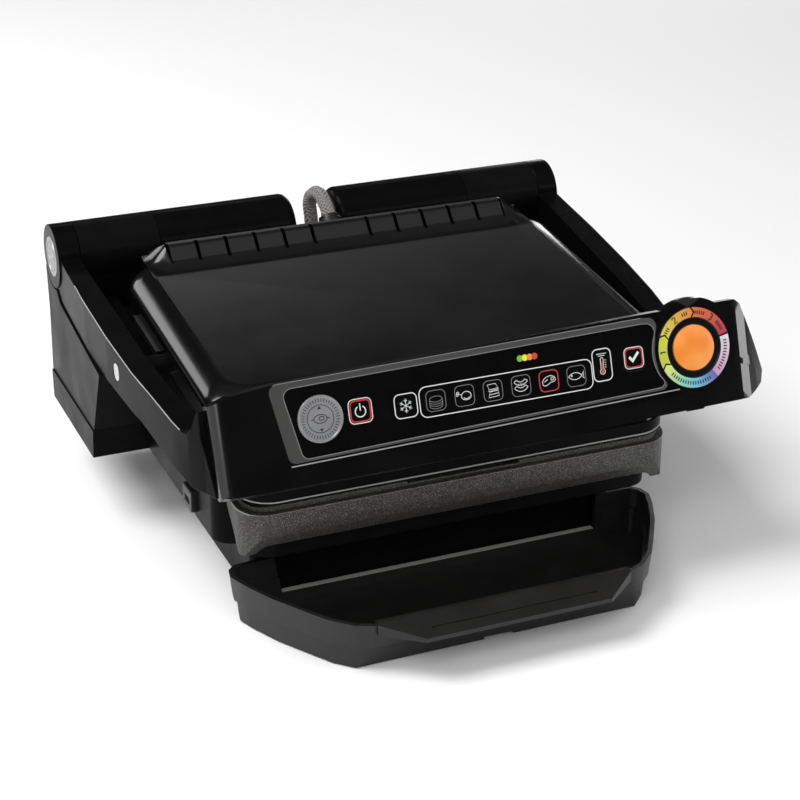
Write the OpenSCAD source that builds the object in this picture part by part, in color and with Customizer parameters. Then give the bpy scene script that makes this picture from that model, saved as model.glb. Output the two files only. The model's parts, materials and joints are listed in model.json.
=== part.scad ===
// Electric contact grill: hinged lid frame with a floating head, base, removable drip tray.
// Millimetres, +Z up, the control bar faces -Y, the table is z = 0.

/* [Overall] */
// Half the width over the hinge end caps
hinge_half = 178; // [170:1:190]
// Slope of the cooking deck towards the front, degrees
deck_tilt = 5.35; // [4:0.05:6.5]
// Height of the deck above the table at the middle
deck_z = 91; // [88:0.5:96]
// Wall of the moulded plastic shells
wall = 3; // [2.4:0.1:3.6]

/* [Hinge] */
// Distance of the hinge axis behind the middle
hinge_y = 159; // [156:0.5:162]
// Height of the hinge axis
hinge_z = 154; // [151:0.5:157]
// Radius of the hinge tube
tube_r = 21; // [19:0.5:22]
// Width of each lid knuckle
knuckle_w = 14.6; // [13:0.2:16]
// Side gap between a knuckle and the base tube
knuckle_gap = 0.4; // [0.3:0.1:0.8]
// Where the tower tube meets the middle tube, from the centre line
tube_seam = 110; // [100:1:120]
// Half the gap that the braided lead comes out of
lead_gap = 14.5; // [13:0.5:18]
// Radius of the hinge shafts
shaft_r = 5; // [4:0.25:6]
// Radial running clearance on the shafts and pivot screws
run_fit = 0.05; // [0.02:0.01:0.1]

/* [Base] */
// Height of the base's lower edge above the table
base_low = 48; // [46:0.5:50]
// Half the width of the base pan
base_half = 143; // [140:0.5:145]
// Front of the base pan behind the apron
base_front = -94; // [-96:0.5:-90]
// Rear of the base pan
base_rear = 180; // [177:0.5:182]
// Lower edge of the towers above the table
tower_low = 46; // [44:0.5:50]
// Radius of a foot
foot_r = 10; // [8:0.5:11]
// Rubber part of a foot
foot_pad = 4; // [3:0.5:8]
// Half the width of the plinth that stands on the table
plinth_half = 120; // [110:0.5:124]
// Rear of the plinth
plinth_rear = 170; // [160:1:174]

/* [Plates] */
// Half the width of a cooking plate
plate_half = 134; // [128:0.5:137]
// Front edge of the plates along the deck
plate_front = -100; // [-102:0.5:-96]
// Rear edge of the plates along the deck
plate_rear = 104; // [98:0.5:106]
// Thickness of a cast plate
plate_t = 4; // [3:0.25:5]
// Height of a sear rib
rib_h = 3; // [2:0.25:3.5]
// Distance from rib to rib
rib_pitch = 12; // [10:0.5:16]
// Gap left between the ribs of the two closed plates
plate_gap = 3.2; // [2.8:0.1:4]
// Lowest point of the front apron
apron_low = 53; // [51:0.5:56]

/* [Head] */
// Height of the flat top above the deck
head_top = 61; // [58:0.5:64]
// Half the width of the head at its widest
head_half = 146; // [142:0.5:148]
// Half the width of the flat top
plateau_half = 130; // [124:0.5:134]
// Gap between head skirt and base rim
skirt_gap = 6.5; // [5:0.25:8]
// Height of the rear rim above the flat top
rim_rise = 10; // [7:0.5:12]
// Distance between vent slots
vent_pitch = 19.4; // [18:0.1:20]
// Where the head pivots on the arms, from the middle
pivot_y = 20; // [10:1:30]
// Height of the head pivot
pivot_z = 128; // [125:0.5:130]

/* [Lid frame] */
// Slope of the arms' top, rise per length
arm_slope = 0.128; // [0.11:0.002:0.14]
// Panel tilt back from upright, degrees
panel_tilt = 18.4; // [16:0.1:21]
// Where the panel's top line lies, along y
panel_y = -107; // [-109:0.5:-105]
// Height of the panel's top line
panel_z = 157; // [155:0.5:159]
// Height of the panel along its slope
panel_h = 48; // [46:0.5:50]
// Left end of the control bar
bar_left = -156; // [-158:0.5:-153]
// Right end of the control bar at its lower corner
bar_right = 188; // [184:0.5:192]

/* [Controls] */
// Centre of the cooking-level indicator along the bar
dial_x = 143; // [141:0.5:145]
// Centre of the indicator below the panel's top line
dial_s = 14; // [13:0.5:15]
// Outer radius of the indicator ring
dial_r = 24.3; // [23:0.1:25]
// Radius of the indicator lens
lens_r = 13.9; // [12:0.1:15]
// Distance between programme keys
key_pitch = 17.8; // [17:0.1:18.5]
// How far a key travels
key_travel = 0.5; // [0.3:0.1:0.6]
// Clearance round a key
key_gap = 0.35; // [0.3:0.05:0.5]

/* [Tray] */
// Half the width of the tray over its ears
tray_half = 138.5; // [134:0.5:142]
// Height of the tray's rim
tray_h = 31; // [28:0.5:33]
// Front of the tray's basin
tray_front = -161; // [-162:0.5:-156]
// Front of the pouring lip
lip_front = -180; // [-184:0.5:-176]
// Rear of the ears
ear_y = -62.5; // [-66:0.5:-60]
// Wall and floor of the tray
tray_t = 2.6; // [2:0.1:3.2]
// How far the tray narrows towards its floor
tray_draft = 5; // [3:0.5:6]

/* [Braided lead] */
// Radius of the braided lead
lead_r = 4.8; // [4:0.1:5.5]

/* [Hidden] */
$fn = 48;

eps = 0.01;
knuckle_in = hinge_half - knuckle_w;
tower_in = knuckle_in - knuckle_gap;
arm_top0 = hinge_z + 5;
arm_y0 = hinge_y - 10;
tower_step = 0.8;
reach_left = hinge_half + tower_step;
reach_right = bar_right - 1;
slope = tan(deck_tilt);
skirt_w = skirt_gap;
upper_w = 2 * rib_h + plate_gap;
bar_rear = panel_y + 11;
head_front = plate_front - 3;
head_rear = 112;
// the skirt wraps the upper plate, and the towers stand clear of skirt and cover
skirt_half = plate_half + wall;
tower_face = max(head_half - 6, skirt_half + 3);

function arm_top(y) = arm_top0 + (y - arm_y0) * arm_slope;
function deck_at(y) = deck_z + y * slope;

// ---------- helpers ----------
module rrect(x0, x1, y0, y1, r) {
  translate([x0 + r, y0]) square([x1 - x0 - 2 * r, y1 - y0]);
  translate([x0, y0 + r]) square([x1 - x0, y1 - y0 - 2 * r]);
  for (x = [x0 + r, x1 - r], y = [y0 + r, y1 - r]) translate([x, y]) circle(r);
}

module slab(x0, x1, y0, y1, r, z0, h) {
  translate([0, 0, z0]) linear_extrude(height = h) rrect(x0, x1, y0, y1, r);
}

// a profile drawn as (y, z) and pulled along x
module along_x(x0, x1) {
  translate([x0, 0, 0]) rotate([90, 0, 90]) linear_extrude(height = x1 - x0) children();
}

module on_deck() { translate([0, 0, deck_z]) rotate([deck_tilt, 0, 0]) children(); }

module on_panel(x = 0, s = 0, out = 0) {
  translate([0, panel_y, panel_z]) rotate([90 - panel_tilt, 0, 0]) translate([x, -s, out]) children();
}

module both_sides() { children(); mirror([1, 0, 0]) children(); }

module cyl_x(x0, x1, r) { translate([x0, 0, 0]) rotate([0, 90, 0]) cylinder(r = r, h = x1 - x0); }

// the finished model stands with its bounding box on the origin
module set_down() { translate([(reach_left - reach_right) / 2, (-lip_front - base_rear) / 2, 0]) children(); }

// ---------- base ----------
module tower_profile(inset = 0) {
  polygon([
    [77 + inset, tower_low + inset], [73 + inset, tower_low + 21], [50 + inset, 113.5 - inset],
    [50 + inset, 114 - inset], [hinge_y - 16, 126 - inset], [hinge_y + 19, hinge_z - inset],
    [176 - inset, 112], [base_rear - inset, 67], [base_rear - inset, tower_low + inset]]);
}

module tower() {
  difference() {
    union() {
      along_x(tower_face, hinge_half) tower_profile();
      // a pan narrower than the head is met below the deck
      if (base_half - wall < tower_face) intersection() {
        along_x(base_half - wall, tower_face + wall) tower_profile();
        under_deck(plate_t + 1);
      }
      // skirt step round the foot of the tower
      along_x(base_half - wall, hinge_half + tower_step) polygon([[76.5, tower_low], [73, tower_low + 20],
        [base_rear, tower_low + 20], [base_rear, tower_low]]);
      translate([0, hinge_y, hinge_z]) cyl_x(tube_seam, tower_in, tube_r);
      along_x(tube_seam, tower_in) polygon([[hinge_y - tube_r + 1, hinge_z], [hinge_y - 14, 118],
        [176, 118], [hinge_y + tube_r - 1, hinge_z]]);
    }
    along_x(tower_face + wall, hinge_half - wall) tower_profile(wall);
    // room for the knuckle and the arm that swing past
    translate([0, hinge_y, hinge_z]) cyl_x(tower_in, hinge_half + 2, tube_r + 1);
    translate([0, hinge_y, hinge_z]) cyl_x(tube_seam - 1, hinge_half + 2, shaft_r + 4.02);
    translate([0, hinge_y, hinge_z]) cyl_x(tube_seam - 1, tower_in - 16, tube_r - wall);
  }
}

module base_plan(inset = 0) {
  rrect(-base_half + inset, base_half - inset, -70 + inset, base_rear - inset, 14 - inset);
  rrect(-plate_half + 4 + inset, plate_half - 4 - inset, base_front + inset, -40, 16 - inset);
}

// everything below the sloping rim of the pan
module under_deck(lower) {
  along_x(-200, 200) polygon([[-130, 0], [-130, deck_at(-130) - lower], [116, deck_at(116) - lower],
    [122, 118], [200, 118], [200, 0]]);
}

foot_x = plinth_half - 14;
foot_ys = [ear_y + 18, plinth_rear - 14];
plinth_front = ear_y;

module plinth_plan(inset = 0) {
  rrect(-plinth_half + inset, plinth_half - inset, plinth_front + inset, plinth_rear - inset, 8 - inset);
}

module at_feet() { for (sx = [-1, 1], y = foot_ys) translate([sx * foot_x, y, 0]) children(); }

// pillars under the lower plate, in from its edge
post_x = plate_half - 16;

module base_shell() color("#232326") {
  difference() {
    union() {
      intersection() {
        difference() {
          translate([0, 0, base_low]) linear_extrude(height = 80) base_plan();
          translate([0, 0, base_low + wall]) linear_extrude(height = 80) base_plan(wall);
        }
        under_deck(plate_t + 1);
      }
      both_sides() {
        tower();
        // shoulder that closes the pan between tower and rear housing
        along_x(tube_seam, tower_face + 2) polygon([[122, 115], [122, 118], [base_rear, 118], [base_rear, 115]]);
      }
      // pillars that carry the lower cooking plate
      on_deck() for (x = [-post_x, post_x], y = [-52, 80]) translate([x - 6, y - 6, -plate_t - 30])
        cube([12, 12, 30]);
      for (x = [-post_x, post_x], y = [-52, 80]) translate([x - 6, y - 4, base_low]) cube([12, 12, 20]);
      // rim in front of the rear housing
      along_x(-tower_face - 2, tower_face + 2) polygon([[112, deck_at(112) - plate_t - 4], [112, deck_at(112) - 1],
        [126, deck_at(112) - 1], [126, 99], [123, 99]]);
    }
    // way down for the wires
    translate([-30, 96, base_low - 1]) cube([60, 26, wall + 2]);
    // lower release opening, left side
    translate([-base_half - 1, -30, base_low + wall]) cube([wall + 2, 18, 14]);
    // mains inlet
    translate([70, base_rear - wall - 1, 78]) rotate([-90, 0, 0]) cylinder(r = 8, h = wall + 4);
  }
}

screw_x = 40;
screw_ys = [plinth_front + 16, plinth_rear - 16];

module at_screws() { for (x = [-screw_x, screw_x], y = screw_ys) translate([x, y, 0]) children(); }

// box that carries the pan, closed below by the bottom cover
module base_plinth() color("#232326") {
  boss_z = foot_pad + wall + 0.1;
  difference() {
    union() {
      translate([0, 0, foot_pad]) linear_extrude(height = base_low - foot_pad) difference() {
        plinth_plan();
        plinth_plan(wall);
      }
      at_feet() translate([0, 0, boss_z]) cylinder(r = foot_r, h = 20);
      // ribs tie each boss to the side wall
      for (sx = [-1, 1], y = foot_ys) translate([sx > 0 ? foot_x : -plinth_half + 1, y - 2, boss_z])
        cube([plinth_half - foot_x - 1, 4, 18]);
      for (x = [-screw_x, screw_x], k = [0, 1]) translate([x, screw_ys[k], boss_z]) {
        cylinder(r = 5, h = 16);
        translate([-2, k > 0 ? 0 : -15, 0]) cube([4, 15, 14]);
      }
    }
    at_feet() cylinder(r = 2, h = 22);
    at_screws() cylinder(r = 1.55, h = 18);
  }
}

module rear_profile(inset = 0) {
  polygon([[126.4 + inset, 102], [126.4 + inset, 128], [hinge_y - tube_r + 3 + inset, hinge_z - 8],
    [hinge_y, hinge_z], [hinge_y + tube_r - 1 - inset, hinge_z - 6], [base_rear - 0.5 - inset, 118.05],
    [base_rear - wall - 0.1 - inset, 118.05], [base_rear - wall - 0.1 - inset, 102]]);
}

// middle half of the hinge tube with the housing that holds the wiring
module rear_half() {
  difference() {
    union() {
      translate([0, hinge_y, hinge_z]) {
        cyl_x(lead_gap + 6, tube_seam - 0.4, tube_r);
        // rounded shoulder towards the lead
        translate([lead_gap + 6, 0, 0]) rotate([0, -90, 0]) rotate_extrude() intersection() {
          union() { square([tube_r - 6, 6]); translate([tube_r - 6, 0]) circle(6); }
          square([tube_r, 6]);
        }
      }
      along_x(lead_gap, tube_seam - 0.4) rear_profile();
    }
    translate([0, hinge_y, hinge_z]) cyl_x(lead_gap + wall, tube_seam + 1, tube_r - wall);
    along_x(lead_gap + wall, tube_seam + 1) offset(delta = -wall) rear_profile();
  }
}

module rear_housing() color("#17171a") {
  both_sides() rear_half();
  // saddle below the lead
  difference() {
    along_x(-lead_gap - eps, lead_gap + eps) polygon([[126.4, 119], [132, 130], [172, 130], [179, 119],
      [179, 118.05], [base_rear - wall - 0.1, 118.05], [base_rear - wall - 0.1, 110], [126.4, 110]]);
    translate([0, hinge_y - 6, 100]) cylinder(r = lead_r + 2.4 + 0.02, h = 40);
  }
}

module bottom_cover() color("#2a2a2d") {
  difference() {
    union() {
      translate([0, 0, foot_pad]) linear_extrude(height = wall) plinth_plan(wall + 0.1);
      // stiffening ribs
      for (i = [-2:2]) translate([i * 40 - 1, plinth_front + 40, foot_pad + wall - eps]) cube([2, 130, 6]);
    }
    at_feet() cylinder(r = 2.1, h = 30);
    at_screws() translate([0, 0, foot_pad - 1]) {
      cylinder(r = 1.6, h = 30);
      cylinder(r = 4.1, h = 2.2);
    }
    // cooling louvres
    for (i = [-3:3]) translate([i * 20 - 10, 20, foot_pad - 1]) cube([4, 60, wall + 2]);
  }
}

module rubber_feet() color("#101010") {
  at_feet() {
    cylinder(r1 = foot_r - 1, r2 = foot_r, h = foot_pad);
    cylinder(r = 1.95, h = foot_pad + 12);
  }
}

module base_screws() color("silver") {
  at_screws() translate([0, 0, foot_pad - 0.4]) difference() {
    union() { cylinder(r = 4, h = 1.55); cylinder(r = 1.5, h = 9); }
    translate([-3, -0.5, -1]) cube([6, 1, 1.8]);
  }
}

module hinge_shafts() color("silver") {
  both_sides() translate([0, hinge_y, hinge_z]) {
    cyl_x(tower_in - 34, hinge_half - 4, shaft_r);
    cyl_x(tower_in - 36, tower_in - 33, shaft_r + 4);
  }
}

module hinge_bushes() color("goldenrod") {
  both_sides() translate([0, hinge_y, hinge_z]) difference() {
    cyl_x(tower_in - 16, tower_in, shaft_r + 4);
    cyl_x(tower_in - 17, tower_in + 1, shaft_r + run_fit);
  }
}

// ---------- plates and heat ----------
module plate_body(flip = 1) {
  slab(-plate_half, plate_half, plate_front, plate_rear, 14, flip > 0 ? -plate_t : 0, plate_t);
}

module ribs() {
  n = floor((plate_half - 16) / rib_pitch);
  for (i = [-n:n]) translate([i * rib_pitch - 2, plate_front + 24, -0.5]) cube([4, plate_rear - plate_front - 44, rib_h + 0.5]);
}

module rim_ring(w0, w1, t) {
  difference() {
    slab(-plate_half, plate_half, plate_front, plate_rear, 14, w0, w1 - w0);
    slab(-plate_half + t, plate_half - t, plate_front + t, plate_rear - t, 14 - t, w0 - 1, w1 - w0 + 2);
  }
}

module lower_plate() color("#2f2f31") {
  difference() {
    union() {
      on_deck() {
        plate_body();
        ribs();
        rim_ring(-eps, 2.4, 5);
        for (x = [-60, 60]) translate([x, 0, -plate_t - 9]) cylinder(r = 7, h = 9 + eps);
      }
      // apron that turns down over the front of the base
      difference() {
        intersection() {
          translate([0, 0, apron_low]) linear_extrude(height = 60)
            rrect(-plate_half - 3.5, plate_half + 3.5, plate_front - 3.6, 40, 17);
          along_x(-plate_half - 4, plate_half + 4) polygon([[plate_front + 5, apron_low], [plate_front - 2.4, 66],
            [plate_front - 3.8, 72], [plate_front - 3.6, deck_at(plate_front) - 0.5], [-71, deck_at(-71) - 0.5],
            [-72, deck_at(-72) - 8], [-80, 68], [-86, 61], [-90, apron_low]]);
        }
        translate([0, 0, apron_low - 1]) linear_extrude(height = 60)
          rrect(-plate_half + 2, plate_half - 2, plate_front + 2, 50, 12);
      }
    }
    // drain notch in the front rim
    on_deck() translate([-36, plate_front - 6, 0]) cube([72, 14, 6]);
  }
}

// the steel tube of an element runs round in a flat loop with two tails
element_half = plate_half - 38;
element_r = 3.4;
bend_r = 30;

module element_loop(z) {
  bend_x = element_half - bend_r;
  tail_x = 40;
  for (x = [-element_half, element_half]) translate([x, -40, z]) rotate([-90, 0, 0]) cylinder(r = element_r, h = 100);
  translate([-bend_x, -40 - bend_r, z]) rotate([0, 90, 0]) cylinder(r = element_r, h = 2 * bend_x);
  for (sx = [-1, 1]) {
    translate([sx * bend_x, -40, z]) rotate([0, 0, sx > 0 ? -90 : 180])
      rotate_extrude(angle = 90) translate([bend_r, 0]) circle(element_r);
    translate([sx * bend_x, 60, z]) rotate([0, 0, sx > 0 ? 0 : 90])
      rotate_extrude(angle = 90) translate([bend_r, 0]) circle(element_r);
    translate([sx > 0 ? tail_x : -bend_x, 60 + bend_r, z]) rotate([0, 90, 0])
      cylinder(r = element_r, h = bend_x - tail_x);
    translate([sx * tail_x - 5, 54 + bend_r, z - element_r]) cube([10, 12, 2 * element_r]);
  }
}

module lower_element() color("#6b6b6b") { on_deck() element_loop(-plate_t - 3.4); }

dish_half = plate_half - 24;
dish_t = 1.2;

module reflector_dish(z, up) {
  difference() {
    slab(-dish_half, dish_half, -84, 100, 20, z, 8);
    slab(-dish_half + dish_t, dish_half - dish_t, -84 + dish_t, 100 - dish_t, 19, up > 0 ? z + dish_t : z - 1, 9 - dish_t);
    for (x = [-60, 60]) translate([x, 0, z - 2]) cylinder(r = 9, h = 14);
  }
}

module lower_reflector() color("#b9babb") {
  on_deck() reflector_dish(-plate_t - 8, 1);
}

module lower_thermostat() color("#8a6b3c") {
  on_deck() {
    translate([0, 20, -plate_t - 8 - 8]) cylinder(r = 9, h = 8);
    translate([-2, 8, -plate_t - 8 - 14]) cube([4, 24, 6.01]);
  }
}

module terminal_block() color("#d8d2bf") {
  translate([-24, 100, foot_pad + wall + 6]) {
    difference() {
      cube([48, 18, 16]);
      for (i = [0:3]) translate([7 + i * 11.4, 9, 6]) cylinder(r = 3, h = 12);
    }
  }
}

module mains_gland() color("#1c1c1f") {
  translate([70, base_rear - wall - 5, 78]) rotate([-90, 0, 0]) difference() {
    union() {
      cylinder(r = 7.95, h = wall + 5);
      cylinder(r = 10, h = 5);
    }
    translate([0, 0, -1]) cylinder(r = 3.6, h = 20);
  }
}

// ---------- braided lead ----------
module lead_boot() color("#202023") {
  translate([0, hinge_y - 6, 112]) difference() {
    union() {
      cylinder(r = lead_r + 2.4, h = 24);
      translate([0, 0, 18]) cylinder(r = lead_r + 5, h = 2);
    }
    translate([0, 0, -1]) cylinder(r = lead_r + 0.05, h = 30);
  }
}

lead_path = [[0, hinge_y - 6, 118], [0, hinge_y - 6, 140], [-0.5, hinge_y - 5.5, 158], [-1.5, hinge_y - 6, 168],
  [-1.5, hinge_y - 10, 175.5], [-0.5, hinge_y - 17, 179.4], [0, hinge_y - 25, 179.2], [0, hinge_y - 32, 175.6],
  [0, hinge_y - 38, 170.5], [0, hinge_y - 44, 164.5], [0, hinge_y - 48, 160.5]];

function unit(v) = v / norm(v);
function tangent(p, i) = unit(p[min(i + 1, len(p) - 1)] - p[max(i - 1, 0)]);

module swept_tube(path, r, sides) {
  n = len(path);
  pts = [for (i = [0:n - 1]) let (t = tangent(path, i), a = [1, 0, 0], b = unit(cross(t, a)), c = cross(b, t))
    for (k = [0:sides - 1]) path[i] + r * (cos(360 * k / sides) * c + sin(360 * k / sides) * b)];
  polyhedron(points = pts, faces = concat(
    [[for (k = [0:sides - 1]) k]],
    [[for (k = [0:sides - 1]) (n - 1) * sides + sides - 1 - k]],
    [for (i = [0:n - 2], k = [0:sides - 1]) [i * sides + k, (i + 1) * sides + k,
      (i + 1) * sides + (k + 1) % sides, i * sides + (k + 1) % sides]]), convexity = 6);
}

module braided_lead() color("#77787c") { swept_tube(lead_path, lead_r - 0.1, 12); }

// ---------- lid frame ----------
// the arms run along the head and bend to the hinge behind it
module arm_plan(inset = 0) {
  h = head_half;
  offset(delta = -inset) polygon([[hinge_half - 1, hinge_y + 30], [hinge_half - 1, hinge_y - tube_r], [h + 31, 82],
    [h + 29.6, 36], [h + 26.7, -8], [h + 23, -38], [h + 20, -66], [h + 16.5, -86], [h + 11.5, -100],
    [h + 8, panel_y - 6], [h - 4, panel_y - 6], [h - 1, -90], [h + 3, -70], [h + 9, -36], [h + 13, 6],
    [h + 15.4, 70], [knuckle_in, 118], [knuckle_in, hinge_y + 30]]);
}

// where the head of a pivot screw seats in its arm
screw_seat = head_half + 26;

module arm_profile() {
  polygon([[hinge_y - 4, arm_top(hinge_y - 10)], [hinge_y - 10, arm_top(hinge_y - 10)], [-76, arm_top(-76)],
    [-84, arm_top(-84) + 1.5], [-89, arm_top(-86) + 7], [-93, arm_top(-86) + 17], [bar_rear, panel_z - 8],
    [panel_y - 6, panel_z - 8], [panel_y - 9.5, 101.5], [-90, 99], [-60, 104], [-20, 112], [60, 116.5],
    [hinge_y - 14, 129], [hinge_y - 4, 136]]);
}

// section of the bar's back, also where the arms end
bar_back = [[bar_rear, panel_z + 14], [bar_rear, 146], [bar_rear - 1, 132], [panel_y + 1, 112], [panel_y - 3, 101.5]];

module arm() {
  difference() {
    union() {
      difference() {
        intersection() {
          translate([0, 0, 80]) linear_extrude(height = 100) arm_plan();
          along_x(0, 2 * hinge_half) arm_profile();
        }
        // open underneath
        intersection() {
          translate([0, 0, 80]) linear_extrude(height = 100) arm_plan(wall);
          along_x(0, 2 * hinge_half) polygon([[hinge_y - 26, arm_top(hinge_y - 26) - wall], [-74, arm_top(-74) - wall],
            [-74, 60], [hinge_y - 26, 60]]);
        }
      }
      translate([0, hinge_y, hinge_z]) cyl_x(knuckle_in, hinge_half, tube_r);
      // boss for the pivot screw
      intersection() {
        translate([0, pivot_y, pivot_z]) cyl_x(head_half + 9.4, head_half + 30.4, 8);
        translate([0, 0, 80]) linear_extrude(height = 100) arm_plan();
      }
    }
    along_x(0, 2 * hinge_half) polygon(concat(bar_back, [[panel_y - 3, 80], [-140, 80], [-140, panel_z + 14]]));
    translate([0, hinge_y, hinge_z]) cyl_x(knuckle_in - 1, hinge_half - 3, shaft_r + run_fit);
    translate([0, hinge_y, hinge_z]) cyl_x(hinge_half - 1.2, hinge_half + 1, 13.2);
    translate([0, pivot_y, pivot_z]) cyl_x(0, 2 * hinge_half, 3);
    translate([0, pivot_y, pivot_z]) cyl_x(screw_seat, 2 * hinge_half, 5.6);
  }
}

module arm_right() color("#1a1a1d") { arm(); }
module arm_left() color("#1a1a1d") { mirror([1, 0, 0]) arm(); }

module bar_outline(inset = 0) {
  offset(delta = -inset) union() {
    polygon([[bar_left + 1, -2], [bar_left + 12, 2.5], [-121, 5], [118, 10.5], [dial_x + 30, 10.5],
      [dial_x + 32.5, 7.5], [bar_right - 1, -36], [bar_right - 3, -43], [bar_right - 12, -panel_h - 2],
      [118, -panel_h - 3], [bar_left + 6, -panel_h - 13], [bar_left + 2, -panel_h - 8]]);
    translate([dial_x, -dial_s]) circle(30);
  }
}

// body of the bar: the panel outline pushed back, cut to the bar's section
module bar_solid(inset = 0) {
  intersection() {
    on_panel(0, 0, -40) linear_extrude(height = 40 - inset) bar_outline(inset);
    along_x(-200, 200) offset(delta = -inset) polygon(concat(bar_back, [[panel_y - 9.5, 101.5], [panel_y - 12.5, 103],
      [panel_y - 24, panel_z - 45], [panel_y - 14, panel_z + 14]]));
  }
}

module window_outline(inset = 0) {
  offset(delta = -inset) difference() {
    polygon([[-120, 3], [dial_x, 7.5], [dial_x, -panel_h + 7], [-114, -panel_h + 5.5]]);
    translate([dial_x, -dial_s]) circle(dial_r + 3);
  }
}

// finger scoop under the bar
module scoop(grow = 0) {
  along_x(-46 - grow, 115 + grow) polygon([[panel_y - 17, 90], [panel_y - 17, 104 + grow],
    [panel_y - 4, 106 + grow], [panel_y + 8, 106 + grow], [panel_y + 8, 90]]);
}

module control_bar() color("#1b1b1e") {
  difference() {
    bar_solid();
    difference() {
      bar_solid(wall);
      // posts behind the indicator
      on_panel(dial_x, dial_s, -40) cylinder(r = dial_r - 5, h = 60);
      scoop(wall);
    }
    // recess for the fascia and the window behind it
    on_panel(0, 0, -2) linear_extrude(height = 20) window_outline();
    on_panel(0, 0, -10) linear_extrude(height = 20) window_outline(3.5);
    on_panel(dial_x, dial_s, -8) cylinder(r = dial_r - 8, h = 30);
    on_panel(dial_x, dial_s, -1.2) cylinder(r = dial_r + 0.02, h = 30);
    scoop();
  }
}

// centre of each key: x along the bar, s down the slope
key_s = 18.8;
keys = [[-70, 17.2, 14.5, 14.5], [-42.7, key_s, 14.2, 14.2],
  [-24.3, key_s, 12.5, 12.5], [-24.3 + key_pitch, key_s, 12.5, 12.5], [-24.3 + 2 * key_pitch, key_s, 12.5, 12.5],
  [-24.3 + 3 * key_pitch, key_s, 12.5, 12.5], [-24.3 + 4 * key_pitch, key_s, 12.5, 12.5],
  [-24.3 + 5 * key_pitch, key_s, 12.5, 12.5], [82, 15, 12.5, 19.5], [103, 15, 14, 14]];
badge_x = -94;
badge_s = 17.7;
badge_r = 13.4;

module key_shape(k, grow = 0) {
  rrect(-k[2] / 2 - grow, k[2] / 2 + grow, -k[3] / 2 - grow, k[3] / 2 + grow, 3.4 + grow);
}

module control_fascia() color("#0c0c0e") {
  difference() {
    on_panel(0, 0, -2) linear_extrude(height = 2) difference() {
      window_outline(0.05);
      for (k = keys) translate([k[0], -k[1]]) key_shape(k, key_gap);
      translate([badge_x, -badge_s]) circle(badge_r + 0.02);
    }
  }
  // bosses that carry the board
  for (x = [-106, -56, -7.5, 55.8, 92.6]) on_panel(x, 33.5, -5) cylinder(r = 2, h = 3.01);
}

module key_cap(i) {
  k = keys[i];
  on_panel(k[0], k[1], -2 - 1) {
    linear_extrude(height = 1) key_shape(k, key_gap + 0.9);
    linear_extrude(height = 3) key_shape(k);
    translate([0, 0, -0.9]) cylinder(r = 2, h = 1);
  }
}

module control_board() color("#1d5a34") {
  on_panel(0, 0, -6.6) {
    linear_extrude(height = 1.6) rrect(-109, 108, -36.5, -6, 2);
    // a small switch under each key
    for (k = keys) translate([k[0], -k[1], 1.5]) cylinder(r = 2.6, h = 0.5);
  }
}

module indicator_ring() color("#d7d7d7") {
  on_panel(dial_x, dial_s, -1.2) difference() {
    cylinder(r = dial_r, h = 2.4);
    translate([0, 0, 1.6]) cylinder(r = lens_r + 4, h = 3);
    translate([0, 0, -1]) cylinder(r = lens_r + 0.02, h = 6);
  }
}

module indicator_lens() color("#f08a24") {
  on_panel(dial_x, dial_s, -1.2) {
    cylinder(r = lens_r, h = 2.6);
    translate([0, 0, 2.6]) cylinder(r1 = lens_r, r2 = lens_r - 1, h = 0.6);
  }
}

module indicator_lamp() color("#e8e8e0") {
  on_panel(dial_x, dial_s, -1.2 - 5.2) {
    cylinder(r = dial_r - 8.02, h = 1.6);
    for (a = [0:120:359]) rotate([0, 0, a]) translate([5, 0, 1.6]) cylinder(r = 2.5, h = 1.6);
    difference() { cylinder(r = dial_r - 8.02, h = 5.2); translate([0, 0, -1]) cylinder(r = dial_r - 10, h = 9); }
  }
}

module round_badge() color("silver") {
  on_panel(badge_x, badge_s, -2) {
    cylinder(r = badge_r, h = 2.6);
    difference() { cylinder(r = badge_r, h = 3); translate([0, 0, -1]) cylinder(r = badge_r - 1, h = 8); }
  }
}

module end_cap() {
  translate([0, hinge_y, hinge_z]) difference() {
    cyl_x(hinge_half - 1.2, hinge_half + 0.2, 13.15);
    difference() { cyl_x(hinge_half - 0.4, hinge_half + 1, 11.6); cyl_x(hinge_half - 1, hinge_half + 2, 10.4); }
  }
}

module end_cap_right() color("silver") { end_cap(); }
module end_cap_left() color("silver") { mirror([1, 0, 0]) end_cap(); }

// posts of the skirt that take the pivot screws
pivot_post = skirt_half - 12;

module pivot_screw() {
  translate([0, pivot_y, pivot_z]) difference() {
    union() { cyl_x(pivot_post + 4, screw_seat + 2, 2.95); cyl_x(screw_seat + 0.02, screw_seat + 2.6, 5.5); }
    translate([screw_seat + 1.6, -4, -0.7]) cube([4, 8, 1.4]);
  }
}

module pivot_screw_right() color("silver") { pivot_screw(); }
module pivot_screw_left() color("silver") { mirror([1, 0, 0]) pivot_screw(); }

// ---------- floating head ----------
// the cover is a loft through rounded rectangles, from the skirt up to the flat top;
// each is [height, inset at the sides, front edge, rear edge, corner radius]
shoulder_w = head_top - 12;
shoulder_end = 68;
head_lofts = concat(
  [for (t = [0, 0.5, 1]) [skirt_w + 8 + (shoulder_w - skirt_w - 8) * t, (head_half - skirt_half) * pow(1 - t, 1.6),
    head_front + 1 + 22 * pow(t, 1.4), head_rear + 5 * t, 22 + 4 * t]],
  [for (i = [1:5]) let (a = shoulder_end * i / 5, up = sin(a) / sin(shoulder_end),
      in = (1 - cos(a)) / (1 - cos(shoulder_end)))
    [shoulder_w + 12 * up, (head_half - plateau_half) * in, head_front + 23 + 19 * in, head_rear + 5 - 9 * in, 26 - 10 * in]]);

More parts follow.
